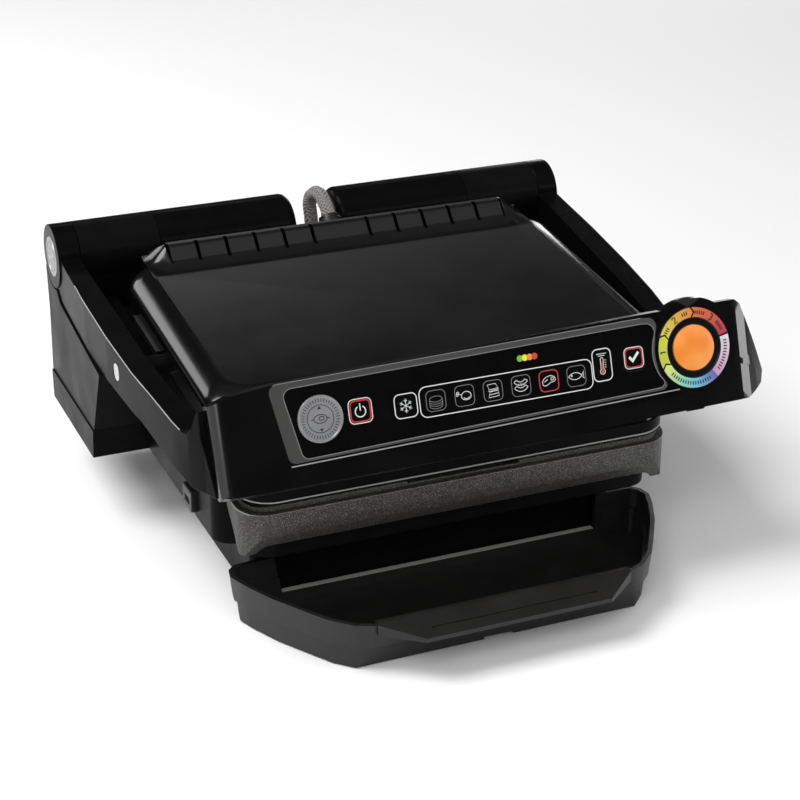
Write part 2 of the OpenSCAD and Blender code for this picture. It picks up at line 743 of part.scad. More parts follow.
module head_loft(inset = 0) {
  hull() for (l = head_lofts) translate([0, 0, l[0] - (l[0] > head_top - 4 ? inset : 0)])
    linear_extrude(height = 0.02) rrect(-head_half + l[1] + inset, head_half - l[1] - inset, l[2] + inset,
      l[3] - inset, l[4] - inset / 2, $fn = 32);
}

// section of the rim behind the flat top, with its height scaled by k
function rim_section(k) = [for (p = [[-26, -3], [-26, 0], [-18, 0.08], [-11, 0.3], [-7, 0.62], [-4.5, 0.88], [-2, 1],
  [2, 1], [4.2, 0.85], [5, 0.5], [5, -6], [-4, -12]])
  [head_rear + p[0], head_top + (p[1] > 0 ? p[1] * rim_rise * k : p[1])]];

rim_end = head_half - 30;

module rear_rim() {
  along_x(-rim_end, rim_end) polygon(rim_section(1));
  both_sides() for (t = [0:2]) along_x(rim_end + 5 * t - eps, rim_end + 5 * t + 5) polygon(rim_section([0.9, 0.6, 0.25][t]));
}

module head_cover() color("#141416") {
  difference() {
    on_deck() difference() {
      union() {
        difference() {
          head_loft();
          head_loft(wall);
          translate([0, 0, skirt_w + 7]) cube([400, 400, 2.2], center = true);
        }
        rear_rim();
        // posts that the plate hangs from
        for (sx = [-1, 1], y = [-52, 60]) translate([sx * (plate_half - 34) - 6, y, upper_w + plate_t + 8])
          cube([12, 12, head_top - upper_w - plate_t - 9.5]);
      }
      for (sx = [-1, 1], i = [1:6]) translate([sx * i * vent_pitch - 1.2, head_rear - 14, head_top + rim_rise - 8])
        cube([2.4, 14, 12]);
      // upper release slot and clip pocket, left side
      translate([-head_half - 1, 30, 34]) cube([12, 52, 7]);
      translate([-head_half - 1, 41, 21.5]) cube([14, 16, 12]);
    }
    at_collar() translate([0, 0, -4]) cylinder(r = lead_r + 3.4, h = 40);
    translate([0, pivot_y, pivot_z]) cyl_x(-200, 200, 6.6);
  }
}

module pivot_boss(r) {
  translate([0, pivot_y, pivot_z]) difference() {
    cyl_x(pivot_post, head_half + 12.4, r);
    cyl_x(0, 200, 2.95 + run_fit);
  }
}

module head_skirt() color("#1f1f22") {
  on_deck() {
    difference() {
      slab(-skirt_half, skirt_half, head_front, head_rear, 21, skirt_w, 8);
      slab(-plate_half - 0.4, plate_half + 0.4, plate_front - 0.4, plate_rear + 0.4, 14.4, skirt_w - 1,
        upper_w + plate_t - skirt_w + 1);
      slab(-plate_half + 12, plate_half - 12, plate_front + 12, plate_rear - 3.5, 10, skirt_w, 20);
    }
    // upstand that locates the cover
    difference() {
      slab(-skirt_half + 3.5, skirt_half - 3.5, head_front + 6.4, head_rear - 3.5, 22, skirt_w + 7, 4);
      slab(-plate_half + 12, plate_half - 12, plate_front + 12, plate_rear - 3.5, 10, skirt_w, 20);
    }
  }
  both_sides() {
    pivot_boss(6.5);
    difference() {
      translate([pivot_post, pivot_y - 8, deck_at(pivot_y) + skirt_w + 9])
        cube([7, 16, pivot_z - deck_at(pivot_y) - skirt_w - 2]);
      translate([0, pivot_y, pivot_z]) cyl_x(0, 200, 2.95 + run_fit);
    }
  }
}

module upper_plate() color("#2f2f31") {
  on_deck() {
    translate([0, 0, upper_w]) plate_body(-1);
    translate([0, 0, upper_w]) mirror([0, 0, 1]) ribs();
    translate([0, 0, upper_w - 2.4]) rim_ring(0, 2.41, 5);
    for (x = [-60, 60]) translate([x, 0, upper_w + plate_t - eps]) cylinder(r = 7, h = 9);
  }
}

module upper_element() color("#6b6b6b") { on_deck() element_loop(upper_w + plate_t + 3.4); }

module upper_reflector() color("#b9babb") {
  on_deck() difference() {
    reflector_dish(upper_w + plate_t, -1);
    translate([-50, 80, upper_w]) cube([100, 30, 30]);
  }
}

// the lead runs down into the rear rim at 45 degrees
module at_collar() { translate([0, hinge_y - 47.5, hinge_z + 7]) rotate([-45, 0, 0]) children(); }

module lead_collar() color("#202023") {
  at_collar() difference() {
    union() { translate([0, 0, -3]) cylinder(r = lead_r + 3.35, h = 12); translate([0, 0, 9]) cylinder(r = lead_r + 2.4, h = 3); }
    translate([0, 0, -6]) cylinder(r = lead_r + 0.6, h = 30);
  }
}

module thickness_sensor() color("#c9c9c9") {
  on_deck() translate([skirt_half - 17, 70, skirt_w + 11]) {
    cube([13, 16, 22]);
    translate([7, 8, 22]) cylinder(r = 3, h = 5);
  }
}

module plate_clip() color("silver") {
  on_deck() translate([-head_half + 4, 41.02, 21.52]) {
    cube([1.2, 15.96, 11.96]);
    cube([5, 15.96, 1.2]);
    translate([-1.4, 0, 10.76]) cube([2.6, 15.96, 1.2]);
  }
}

module upper_release() color("#161618") {
  on_deck() {
    translate([-head_half - 1.4, 31, 34.6]) cube([9, 50, 5.8]);
    translate([-head_half + 7.1, 31.5, 33]) cube([1.6, 52.5, 9]);
  }
}

module lower_release() color("#111113") {
  translate([-base_half - 3.4, -29.6, base_low + wall + 0.4]) {
    difference() { cube([10, 17.2, 13.2]); translate([-1, 4, 4]) rotate([0, 18, 0]) cube([2.4, 9.2, 8]); }
    translate([3.4 + wall, -2.4, 0.8]) cube([1.6, 22, 12.4]);
  }
}

// ---------- drip tray ----------
// rim of the right half, each point as [in from the side, in front of the ears' rear]
tray_edge = [[31.5, 0], [6.5, 1.5], [1.5, 6.5], [0, 15], [4, 26.5], [13.5, 47], [26.5, 68.5], [35, 82], [46.5, 93.5]];
tray_right = concat([for (p = tray_edge) [tray_half - p[0], ear_y - p[1]]], [[tray_half - 57.5, tray_front]]);
// the ears' inner ends lean apart towards the rim
tray_open = [tray_half - 34, tray_half - 31];
tray_back_t = 4.5;
tray_back_h = 9;
// the wall steps out at this height
tray_mid = 15;
// bands of the outside, from the foot up: height, inset at the sides, set-back of the front
foot_band = [[0.4, tray_draft, 9.4], [tray_mid + eps, tray_draft - 1.3, 5.5]];
rim_band = [[tray_mid, tray_draft - 3.3, 3], [tray_h, 0, 0]];
// the pouring lip's ramp, as (y, z)
ramp_top = [tray_front + 1, tray_h + 1.2];
ramp_low = [lip_front, tray_h - 3];

module tray_plan(inset = 0, set_back = 0) {
  difference() {
    offset(delta = -inset) polygon(concat(tray_right,
      [for (i = [len(tray_right) - 1:-1:0]) [-tray_right[i][0], tray_right[i][1]]]));
    translate([-tray_half, tray_front - 1]) square([2 * tray_half, 1 + set_back]);
  }
}

// solid between the two outlines of a band, drawn in by a wall
module tray_band(band, thick = 0) {
  hull() for (b = band) translate([0, 0, b[0]]) linear_extrude(height = eps) tray_plan(b[1] + thick, b[2] + thick);
}

// the same band, moved up by a wall, is the room inside
module tray_room() {
  tray_band([foot_band[0] + [tray_t, 0, 0], foot_band[1] + [4, 0, 0]], tray_t);
  tray_band([rim_band[0] + [4, 0, 0], rim_band[1] + [1, 0, 0]], tray_t);
}

module lip_plan() {
  polygon([[-80, tray_front + 4], [80, tray_front + 4], [80, tray_front - 1],
    [58, lip_front], [-58, lip_front], [-80, tray_front - 1]]);
}

module drip_tray() color("#242427") {
  groove_y = 7.5;
  fall = (ramp_top[1] - ramp_low[1]) / (ramp_top[0] - ramp_low[0]);
  difference() {
    union() {
      tray_band(foot_band);
      tray_band(rim_band);
      // pouring lip
      intersection() {
        translate([0, 0, 5]) linear_extrude(height = 40) lip_plan();
        along_x(-100, 100) polygon([[tray_front + 4, ramp_top[1]], ramp_top, ramp_low,
          [lip_front, tray_h - 5.6], [tray_front + 4, tray_h - 6]]);
      }
    }
    // basin, with a low ridge left at the back
    difference() {
      tray_room();
      translate([-tray_half, ear_y - tray_back_t, 0]) cube([2 * tray_half, 20, tray_back_h]);
    }
    // open back between the ears
    translate([0, ear_y + 1, 0]) rotate([90, 0, 0]) linear_extrude(height = 10)
      polygon([[-tray_open[0], tray_back_h], [tray_open[0], tray_back_h], [tray_open[1], tray_h + 2],
        [-tray_open[1], tray_h + 2]]);
    // groove across the lip
    translate([0, lip_front + groove_y, ramp_low[1] + groove_y * fall - 0.6]) rotate([atan(fall), 0, 0])
      linear_extrude(height = 3) {
        square([102, 2.2], center = true);
        for (x = [-51, 51]) translate([x, 0]) circle(1.1);
      }
    // finger notch under the front edge
    translate([-9.5, tray_front + 7, 0]) cube([19, 5, 2.2]);
  }
}

// ---------- selection ----------
set_down() base_shell();
set_down() base_plinth();
set_down() rear_housing();
set_down() bottom_cover();
set_down() rubber_feet();
set_down() base_screws();
set_down() hinge_shafts();
set_down() hinge_bushes();
set_down() lower_plate();
set_down() lower_element();
set_down() lower_reflector();
set_down() lower_thermostat();
set_down() terminal_block();
set_down() mains_gland();
set_down() lead_boot();
set_down() braided_lead();
set_down() arm_left();
set_down() arm_right();
set_down() control_bar();
set_down() control_fascia();
set_down() control_board();
set_down() indicator_ring();
set_down() indicator_lens();
set_down() indicator_lamp();
set_down() round_badge();
set_down() end_cap_left();
set_down() end_cap_right();
set_down() pivot_screw_left();
set_down() pivot_screw_right();
set_down() head_cover();
set_down() head_skirt();
set_down() upper_plate();
set_down() upper_element();
set_down() upper_reflector();
set_down() lead_collar();
set_down() thickness_sensor();
set_down() plate_clip();
set_down() drip_tray();
set_down() lower_release();
set_down() upper_release();
set_down() key_cap(0);  // key_power
set_down() key_cap(1);  // key_frozen
set_down() key_cap(2);  // key_burger
set_down() key_cap(3);  // key_poultry
set_down() key_cap(4);  // key_sandwich
set_down() key_cap(5);  // key_sausage
set_down() key_cap(6);  // key_meat
set_down() key_cap(7);  // key_fish
set_down() key_cap(8);  // key_manual
set_down() key_cap(9);  // key_confirm
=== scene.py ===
import json
import math

import bmesh
import bpy
from mathutils import Matrix, Vector


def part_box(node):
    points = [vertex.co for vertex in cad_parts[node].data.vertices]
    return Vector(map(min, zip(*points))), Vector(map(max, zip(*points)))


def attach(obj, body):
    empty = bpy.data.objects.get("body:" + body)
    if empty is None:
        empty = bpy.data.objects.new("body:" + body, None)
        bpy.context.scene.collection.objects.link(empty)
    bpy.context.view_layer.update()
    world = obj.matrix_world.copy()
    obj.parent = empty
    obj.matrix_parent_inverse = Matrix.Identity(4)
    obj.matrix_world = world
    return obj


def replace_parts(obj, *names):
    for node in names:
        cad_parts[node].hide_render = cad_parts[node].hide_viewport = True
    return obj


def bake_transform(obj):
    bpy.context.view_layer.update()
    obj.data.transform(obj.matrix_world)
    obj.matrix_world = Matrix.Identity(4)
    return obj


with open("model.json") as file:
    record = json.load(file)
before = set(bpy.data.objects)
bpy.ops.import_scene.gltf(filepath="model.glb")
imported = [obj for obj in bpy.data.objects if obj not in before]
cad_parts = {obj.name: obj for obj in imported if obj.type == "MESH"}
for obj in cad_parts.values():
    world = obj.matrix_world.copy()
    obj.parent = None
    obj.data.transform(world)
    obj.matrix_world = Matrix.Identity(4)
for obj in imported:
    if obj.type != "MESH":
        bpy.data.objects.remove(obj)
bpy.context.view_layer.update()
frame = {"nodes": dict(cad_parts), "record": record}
NODES = frame["nodes"]
BODIES = frame["record"]["behaviour"]["bodies"]
SLOTS = {s["node"]: s["material_slot"] for s in frame["record"]["subparts"]}
BODY_OF = {node: body for body, members in BODIES.items() for node in members}
MM = 0.001

# ---------- places that the CAD frame gives ----------
CAP_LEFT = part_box("end_cap_left")
CAP_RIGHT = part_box("end_cap_right")
SHIFT = (CAP_LEFT[0].x + CAP_RIGHT[1].x) / 2
HINGE_Y = (CAP_LEFT[0].y + CAP_LEFT[1].y) / 2
HINGE_Z = (CAP_LEFT[0].z + CAP_LEFT[1].z) / 2
PANEL_TILT = math.radians(18.4)
PANEL_Y = HINGE_Y - 266 * MM
PANEL_Z = HINGE_Z + 3 * MM
DECK_TILT = math.radians(5.35)
DECK_Z = 91 * MM
# middle of the round indicator on the panel
DIAL_X, DIAL_DOWN = 143.0, 14.0
LEAD_RADIUS = 4.7

PANEL_RIGHT = Vector((1, 0, 0))
PANEL_OUT = Vector((0, -math.cos(PANEL_TILT), math.sin(PANEL_TILT)))
PANEL_UP = PANEL_OUT.cross(PANEL_RIGHT)


def panel_matrix(x=0.0, down=0.0, out=0.0):
    """Local millimetres (right, up, out) at a point of the control panel."""
    place = Vector((SHIFT, PANEL_Y, PANEL_Z)) + (PANEL_RIGHT * x - PANEL_UP * down + PANEL_OUT * out) * MM
    turn = Matrix((PANEL_RIGHT, PANEL_UP, PANEL_OUT)).transposed().to_4x4()
    return Matrix.Translation(place) @ turn @ Matrix.Scale(MM, 4)


def deck_matrix():
    """Local millimetres (right, back, up) on the sloping cooking deck."""
    return Matrix.Translation((SHIFT, 0, DECK_Z)) @ Matrix.Rotation(DECK_TILT, 4, "X") @ Matrix.Scale(MM, 4)


# ---------- camera, floor and light ----------
AZIMUTH = math.radians(-22.62)
ELEVATION = math.radians(24.65)
DISTANCE = 1.253
PHOTO_WIDTH_PIXELS = 800
FOCAL_PIXELS = 2014
SENSOR = 36.0
AIM = Vector((SHIFT / MM - 3.0, -9.0, 91.7)) * MM


def make_camera():
    data = bpy.data.cameras.new("photo_camera")
    data.sensor_width = SENSOR
    data.lens = SENSOR * FOCAL_PIXELS / PHOTO_WIDTH_PIXELS
    data.clip_end = 50
    camera = bpy.data.objects.new("photo_camera", data)
    bpy.context.scene.collection.objects.link(camera)
    back = Vector((math.sin(AZIMUTH) * math.cos(ELEVATION), -math.cos(AZIMUTH) * math.cos(ELEVATION),
                   math.sin(ELEVATION)))
    camera.location = AIM + back * DISTANCE
    camera.rotation_euler = back.to_track_quat("Z", "Y").to_euler()
    bpy.context.scene.camera = camera


def area_light(name, place, aim, size, power):
    data = bpy.data.lights.new(name, "AREA")
    data.shape = "RECTANGLE"
    data.size = size[0]
    data.size_y = size[1]
    data.energy = power
    light = bpy.data.objects.new(name, data)
    bpy.context.scene.collection.objects.link(light)
    light.location = place
    light.rotation_euler = (Vector(place) - Vector(aim)).to_track_quat("Z", "Y").to_euler()


# brightness of the studio: dark low down and behind the object, bright overhead and in front of it
SKY = [(0.0, 0.02), (0.09, 0.03), (0.14, 0.12), (0.25, 0.17), (0.40, 0.30), (0.70, 0.9)]
# range of the direction's z over which that brightness comes in
SKY_START = (0.15, 0.45)
# a soft panel low behind the object: each range of the direction's x, y or z goes from dark to lit,
# only over FADE it dims to FAR_LIGHT, and over LEAN its top slopes down by LEAN_RISE
SOFTBOX_LEFT = (0.10, 0.20)
SOFTBOX_FADE = (0.26, 0.48)
SOFTBOX_FAR_LIGHT = 0.25
SOFTBOX_LEAN = (0.26, 0.49)
SOFTBOX_LEAN_RISE = 0.05
SOFTBOX_TOP = (0.540, 0.505)
SOFTBOX_FOOT = (0.36, 0.42)
SOFTBOX_BACK = (0.3, 0.5)
SOFTBOX_LIGHT = 0.9


def make_world():
    """A dark studio with a broad soft ceiling and one soft panel behind, so that gloss reads as gloss."""
    world = bpy.data.worlds.new("studio")
    world.use_nodes = True
    bpy.context.scene.world = world
    tree = world.node_tree
    tree.nodes.clear()
    out = tree.nodes.new("ShaderNodeOutputWorld")
    back = tree.nodes.new("ShaderNodeBackground")
    coords = tree.nodes.new("ShaderNodeTexCoord")
    split = tree.nodes.new("ShaderNodeSeparateXYZ")
    tree.links.new(coords.outputs["Generated"], split.inputs[0])
    x, y, z = split.outputs[:3]
    front = remap(tree, y, 1.0, 0.0, (-1.0, 1.0))
    height = maths(tree, "MULTIPLY", z, front)
    height = maths(tree, "MULTIPLY", height, remap(tree, z, 0.0, 1.0, SKY_START))
    ceiling = color_ramp(tree, height, [(at, (light, light, light)) for at, light in SKY])
    lean = maths(tree, "ADD", z, remap(tree, x, 0.0, SOFTBOX_LEAN_RISE, SOFTBOX_LEAN))
    box = remap(tree, x, 0.0, SOFTBOX_LIGHT, SOFTBOX_LEFT)
    for value, first, last, span in ((x, 1.0, SOFTBOX_FAR_LIGHT, SOFTBOX_FADE), (lean, 0.0, 1.0, SOFTBOX_TOP),
                                     (z, 0.0, 1.0, SOFTBOX_FOOT), (y, 0.0, 1.0, SOFTBOX_BACK)):
        box = maths(tree, "MULTIPLY", box, remap(tree, value, first, last, span))
    tree.links.new(maths(tree, "ADD", ceiling, box), back.inputs[0])
    tree.links.new(back.outputs[0], out.inputs[0])


FLOOR_SIZE = 60
FLOOR_DROP = 0.0006


def make_floor():
    bpy.ops.mesh.primitive_plane_add(size=FLOOR_SIZE, location=(0, 0, -FLOOR_DROP))
    floor = bpy.context.object
    floor.name = "floor"
    mat, tree, shader = new_material("floor_paper")
    shader.inputs["Base Color"].default_value = (0.93, 0.93, 0.93, 1)
    shader.inputs["Roughness"].default_value = 0.9
    shader.inputs["Specular IOR Level"].default_value = 0.1
    floor.data.materials.append(mat)


# ---------- material building blocks ----------
def new_material(name):
    mat = bpy.data.materials.new(name)
    mat.use_nodes = True
    tree = mat.node_tree
    tree.nodes.clear()
    out = tree.nodes.new("ShaderNodeOutputMaterial")
    shader = tree.nodes.new("ShaderNodeBsdfPrincipled")
    tree.links.new(shader.outputs[0], out.inputs[0])
    return mat, tree, shader


def object_coords(tree, stretch=(1, 1, 1)):
    coords = tree.nodes.new("ShaderNodeTexCoord")
    mapping = tree.nodes.new("ShaderNodeMapping")
    mapping.inputs["Scale"].default_value = stretch
    tree.links.new(coords.outputs["Object"], mapping.inputs[0])
    return mapping.outputs[0]


def noise(tree, vector, scale, detail=2.0, roughness=0.5):
    node = tree.nodes.new("ShaderNodeTexNoise")
    node.inputs["Scale"].default_value = scale
    node.inputs["Detail"].default_value = detail
    node.inputs["Roughness"].default_value = roughness
    tree.links.new(vector, node.inputs["Vector"])
    return node.outputs["Fac"]


def remap(tree, value, low, high, source=(0.3, 0.7)):
    node = tree.nodes.new("ShaderNodeMapRange")
    node.inputs["From Min"].default_value = source[0]
    node.inputs["From Max"].default_value = source[1]
    node.inputs["To Min"].default_value = low
    node.inputs["To Max"].default_value = high
    tree.links.new(value, node.inputs["Value"])
    return node.outputs[0]


def maths(tree, operation, a, b):
    node = tree.nodes.new("ShaderNodeMath")
    node.operation = operation
    for socket, value in zip(node.inputs, (a, b)):
        tree.links.new(value, socket)
    return node.outputs[0]


def color_ramp(tree, value, stops):
    node = tree.nodes.new("ShaderNodeValToRGB")
    points = node.color_ramp.elements
    while len(points) < len(stops):
        points.new(0.5)
    for point, (position, color) in zip(points, stops):
        point.position = position
        point.color = (*color, 1)
    tree.links.new(value, node.inputs[0])
    return node.outputs[0]


def bump(tree, shader, height, strength, distance):
    node = tree.nodes.new("ShaderNodeBump")
    node.inputs["Strength"].default_value = strength
    node.inputs["Distance"].default_value = distance
    tree.links.new(height, node.inputs["Height"])
    tree.links.new(node.outputs[0], shader.inputs["Normal"])


def mottled(tree, color, spread=0.18, scale=60):
    """A colour that drifts a little over the surface."""
    drift = noise(tree, object_coords(tree), scale, 3)
    low = tuple(c * (1 - spread) for c in color)
    high = tuple(min(1, c * (1 + spread)) for c in color)
    return color_ramp(tree, drift, [(0.3, low), (0.7, high)])


# ---------- materials, one function a finish ----------
def gloss_black(name="gloss_black", color=(0.0028, 0.0028, 0.0031), rough=(0.12, 0.19), peel=0.05,
                specular=0.42):
    mat, tree, shader = new_material(name)
    coords = object_coords(tree)
    tree.links.new(mottled(tree, color), shader.inputs["Base Color"])
    smudge = noise(tree, coords, 22, 4, 0.6)
    tree.links.new(remap(tree, smudge, *rough), shader.inputs["Roughness"])
    shader.inputs["Specular IOR Level"].default_value = specular
    bump(tree, shader, noise(tree, coords, 420, 2), peel, 0.0002)
    return mat


def grained_plastic(name, color, rough=(0.38, 0.5), grain=2400, depth=0.25, specular=0.4):
    mat, tree, shader = new_material(name)
    coords = object_coords(tree)
    tree.links.new(mottled(tree, color), shader.inputs["Base Color"])
    tree.links.new(remap(tree, noise(tree, coords, 40, 4), *rough), shader.inputs["Roughness"])
    shader.inputs["Specular IOR Level"].default_value = specular
    bump(tree, shader, noise(tree, coords, grain, 3, 0.6), depth, 0.0002)
    return mat


def speckled_coating(name="speckled_coating", base=(0.010, 0.0096, 0.009), fleck=(0.42, 0.40, 0.38), share=0.64,
                     scale=2300):
    mat, tree, shader = new_material(name)
    coords = object_coords(tree)
    fine = noise(tree, coords, scale, 2, 0.7)
    color = color_ramp(tree, fine, [(share - 0.08, base), (share + 0.06, fleck)])
    tree.links.new(color, shader.inputs["Base Color"])
    tree.links.new(remap(tree, fine, 0.34, 0.52), shader.inputs["Roughness"])
    shader.inputs["Specular IOR Level"].default_value = 0.5
    bump(tree, shader, fine, 0.5, 0.0003)
    return mat


def brushed_metal(name, color, along=(1, 60, 60), rough=(0.22, 0.36)):
    mat, tree, shader = new_material(name)
    lines = noise(tree, object_coords(tree, along), 60, 4, 0.7)
    tree.links.new(mottled(tree, color, 0.06), shader.inputs["Base Color"])
    tree.links.new(remap(tree, lines, *rough), shader.inputs["Roughness"])
    shader.inputs["Metallic"].default_value = 1.0
    bump(tree, shader, lines, 0.12, 0.0001)
    return mat


def rubber():
    mat, tree, shader = new_material("soft_rubber")
    coords = object_coords(tree)
    tree.links.new(mottled(tree, (0.018, 0.018, 0.018)), shader.inputs["Base Color"])
    shader.inputs["Roughness"].default_value = 0.75
    bump(tree, shader, noise(tree, coords, 1500, 3), 0.3, 0.0002)
    return mat


def braid_fibre():
    mat, tree, shader = new_material("braid_fibre")
    coords = object_coords(tree)
    fibres = noise(tree, coords, 1800, 3, 0.7)
    color = color_ramp(tree, fibres, [(0.35, (0.075, 0.068, 0.066)), (0.65, (0.33, 0.30, 0.29))])
    tree.links.new(color, shader.inputs["Base Color"])
    shader.inputs["Roughness"].default_value = 0.6
    shader.inputs["Sheen Weight"].default_value = 0.25
    bump(tree, shader, fibres, 0.5, 0.0002)
    return mat


def amber_lens():
    mat, tree, shader = new_material("amber_lens")
    coords = object_coords(tree)
    glow = noise(tree, coords, 0.06, 1)
    color = color_ramp(tree, glow, [(0.3, (0.72, 0.20, 0.018)), (0.75, (0.84, 0.31, 0.06))])
    tree.links.new(color, shader.inputs["Base Color"])
    tree.links.new(color, shader.inputs["Emission Color"])
    shader.inputs["Emission Strength"].default_value = 0.14
    shader.inputs["Roughness"].default_value = 0.32
    shader.inputs["Subsurface Weight"].default_value = 0.2
    shader.inputs["Subsurface Radius"].default_value = (0.004, 0.002, 0.001)
    return mat


def print_ink(name, color):
    """Screen print: a thin opaque ink of slightly uneven colour."""
    mat, tree, shader = new_material(name)
    tree.links.new(mottled(tree, color, 0.06, 3), shader.inputs["Base Color"])
    shader.inputs["Roughness"].default_value = 0.38
    return mat


def painted_ring():
    """The ring's print: the mesh itself keeps the colour of each stretch."""
    mat, tree, shader = new_material("ring_print")
    paint = tree.nodes.new("ShaderNodeVertexColor")
    paint.layer_name = "zone"
    tree.links.new(paint.outputs[0], shader.inputs["Base Color"])
    shader.inputs["Roughness"].default_value = 0.3
    shader.inputs["Specular IOR Level"].default_value = 0.4
    return mat


make_camera()
make_world()
make_floor()

INK_WHITE = print_ink("ink_white", (0.72, 0.72, 0.72))
INK_GREY = print_ink("ink_grey", (0.20, 0.20, 0.20))
INK_RED = print_ink("ink_red", (0.52, 0.03, 0.035))
INK_BLACK = print_ink("ink_black", (0.004, 0.004, 0.004))
# a finish for each material slot, and three of the scene's own: frame_band, the light grey of the painted
# highlight strips, and arm
FINISH = {
    "gloss_shell": gloss_black(),
    "satin_shell": grained_plastic("satin_black", (0.0042, 0.0042, 0.0045), rough=(0.28, 0.38), depth=0.12,
                                   specular=0.03),
    "dark_trim": grained_plastic("trim_black", (0.004, 0.004, 0.0044), rough=(0.3, 0.42), depth=0.2,
                                 specular=0.35),
    "nonstick": speckled_coating(),
    "tray_plastic": grained_plastic("tray_black", (0.010, 0.0094, 0.009), rough=(0.34, 0.46), grain=1500,
                                    depth=0.6),
    "bright_steel": brushed_metal("bright_steel", (0.62, 0.62, 0.63)),
    "silver_disc": brushed_metal("silver_disc", (0.43, 0.43, 0.44), rough=(0.3, 0.45)),
    "reflector": brushed_metal("rolled_sheet", (0.72, 0.72, 0.73), rough=(0.12, 0.25)),
    "element": brushed_metal("oxidised_tube", (0.16, 0.155, 0.15), rough=(0.4, 0.55)),
    "bronze": brushed_metal("sintered_bronze", (0.55, 0.40, 0.18), rough=(0.45, 0.6)),
    "rubber": rubber(),
    "braid": braid_fibre(),
    "fascia": gloss_black("fascia_black", (0.0022, 0.0022, 0.0025), (0.10, 0.16), 0.02),
    "keycap": gloss_black("keycap_black", (0.0025, 0.0025, 0.0028), (0.12, 0.18), 0.02),
    "ring_print": gloss_black("ring_black", (0.003, 0.003, 0.0033), (0.16, 0.24), 0.02),
    "lens": amber_lens(),
    "frame_band": grained_plastic("frame_grey", (0.038, 0.037, 0.036), rough=(0.4, 0.5), grain=2600, depth=0.4),
    # painted highlight: this light grey colours thin strips along edges that stand in for light caught there
    "painted_highlight": grained_plastic("painted_highlight_grey", (0.30, 0.295, 0.29), rough=(0.2, 0.3), depth=0.05, specular=0.5),
    "arm": gloss_black("arm_black", (0.0026, 0.0026, 0.0029), (0.2, 0.3), 0.04, 0.03),
    "board": grained_plastic("board_green", (0.03, 0.16, 0.07)),
    "ceramic": grained_plastic("cream_insulator", (0.62, 0.58, 0.48)),
}


# ---------- mesh building blocks ----------
def add_piece(name, mesh, body, material, place=None):
    piece = bpy.data.objects.new(name, mesh)
    bpy.context.scene.collection.objects.link(piece)
    if place is not None:
        piece.matrix_world = place
    mesh.materials.clear()
    mesh.materials.append(material)
    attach(piece, body)
    return piece


def mesh_from(bm, name, smooth=True, sharp=40):
    bmesh.ops.recalc_face_normals(bm, faces=bm.faces)
    mesh = bpy.data.meshes.new(name)
    bm.to_mesh(mesh)
    bm.free()
    for face in mesh.polygons:
        face.use_smooth = smooth
    if smooth:
        mesh.set_sharp_from_angle(angle=math.radians(sharp))
    return mesh


def soften(node, width, segments=2, limit=30):
    """Stands for a CAD node: the same solid with its edges rounded as a mould leaves them."""
    mesh = NODES[node].data.copy()
    bm = bmesh.new()
    bm.from_mesh(mesh)
    bmesh.ops.remove_doubles(bm, verts=bm.verts, dist=2e-6)
    if node in RESHAPE:
        RESHAPE[node](bm)
    bmesh.ops.dissolve_limit(bm, angle_limit=math.radians(0.6), verts=bm.verts, edges=bm.edges)
    bm.to_mesh(mesh)
    bm.free()
    for face in mesh.polygons:
        face.use_smooth = True
    mesh.set_sharp_from_angle(angle=math.radians(SMOOTH_LIMIT.get(node, limit)))
    finish = FINISH[NODE_FINISH.get(node, SLOTS[node])]
    piece = add_piece(node + "_moulded", mesh, BODY_OF[node], finish)
    bevel = piece.modifiers.new("moulded_edges", "BEVEL")
    bevel.width = width * MM
    bevel.segments = segments
    bevel.limit_method = "ANGLE"
    bevel.angle_limit = math.radians(limit)
    bevel.use_clamp_overlap = True
    bevel.harden_normals = True
    flats = piece.modifiers.new("flat_faces", "WEIGHTED_NORMAL")
    flats.keep_sharp = True
    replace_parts(piece, node)
    return piece


def arc(cx, cy, radius, start, end, steps=16, squash=1.0):
    """Points of a circular arc in the plane, angles in degrees."""
    points = []
    for i in range(steps + 1):
        a = math.radians(start + (end - start) * i / steps)
        points.append((cx + radius * math.cos(a), cy + radius * squash * math.sin(a)))
    return points


def rounded_box(half_x, half_y, radius, cx=0.0, cy=0.0):
    points = []
    for k, (sx, sy) in enumerate([(1, 1), (-1, 1), (-1, -1), (1, -1)]):
        points += arc(cx + sx * (half_x - radius), cy + sy * (half_y - radius), radius, 90 * k, 90 * k + 90, 6)
    return points


def ribbon(bm, points, width, low, high, closed=False):
    """A flat raised line of the given width that follows points."""
    count = len(points)
    rings = []
    for i, (x, y) in enumerate(points):
        before = points[(i - 1) % count] if closed or i else points[0]
        after = points[(i + 1) % count] if closed or i < count - 1 else points[-1]
        along = Vector((after[0] - before[0], after[1] - before[1]))
        side = Vector((-along.y, along.x)).normalized() * width / 2
        rings.append([bm.verts.new((x + s * side.x, y + s * side.y, z))
                      for s, z in ((-1, low), (-1, high), (1, high), (1, low))])
    spans = range(count if closed else count - 1)
    for i in spans:
        a, b = rings[i], rings[(i + 1) % count]
        for k in range(4):
            bm.faces.new((a[k], a[(k + 1) % 4], b[(k + 1) % 4], b[k]))
    if not closed:
        bm.faces.new(rings[0])
        bm.faces.new(rings[-1][::-1])


def plate_shape(bm, points, low, high):
    """A flat solid of the given outline."""
    bottom = [bm.verts.new((x, y, low)) for x, y in points]
    top = [bm.verts.new((x, y, high)) for x, y in points]
    bm.faces.new(bottom[::-1])
    bm.faces.new(top)
    for i in range(len(points)):
        k = (i + 1) % len(points)
        bm.faces.new((bottom[i], bottom[k], top[k], top[i]))


INK_LOW = 0.0
INK_HIGH = 0.05


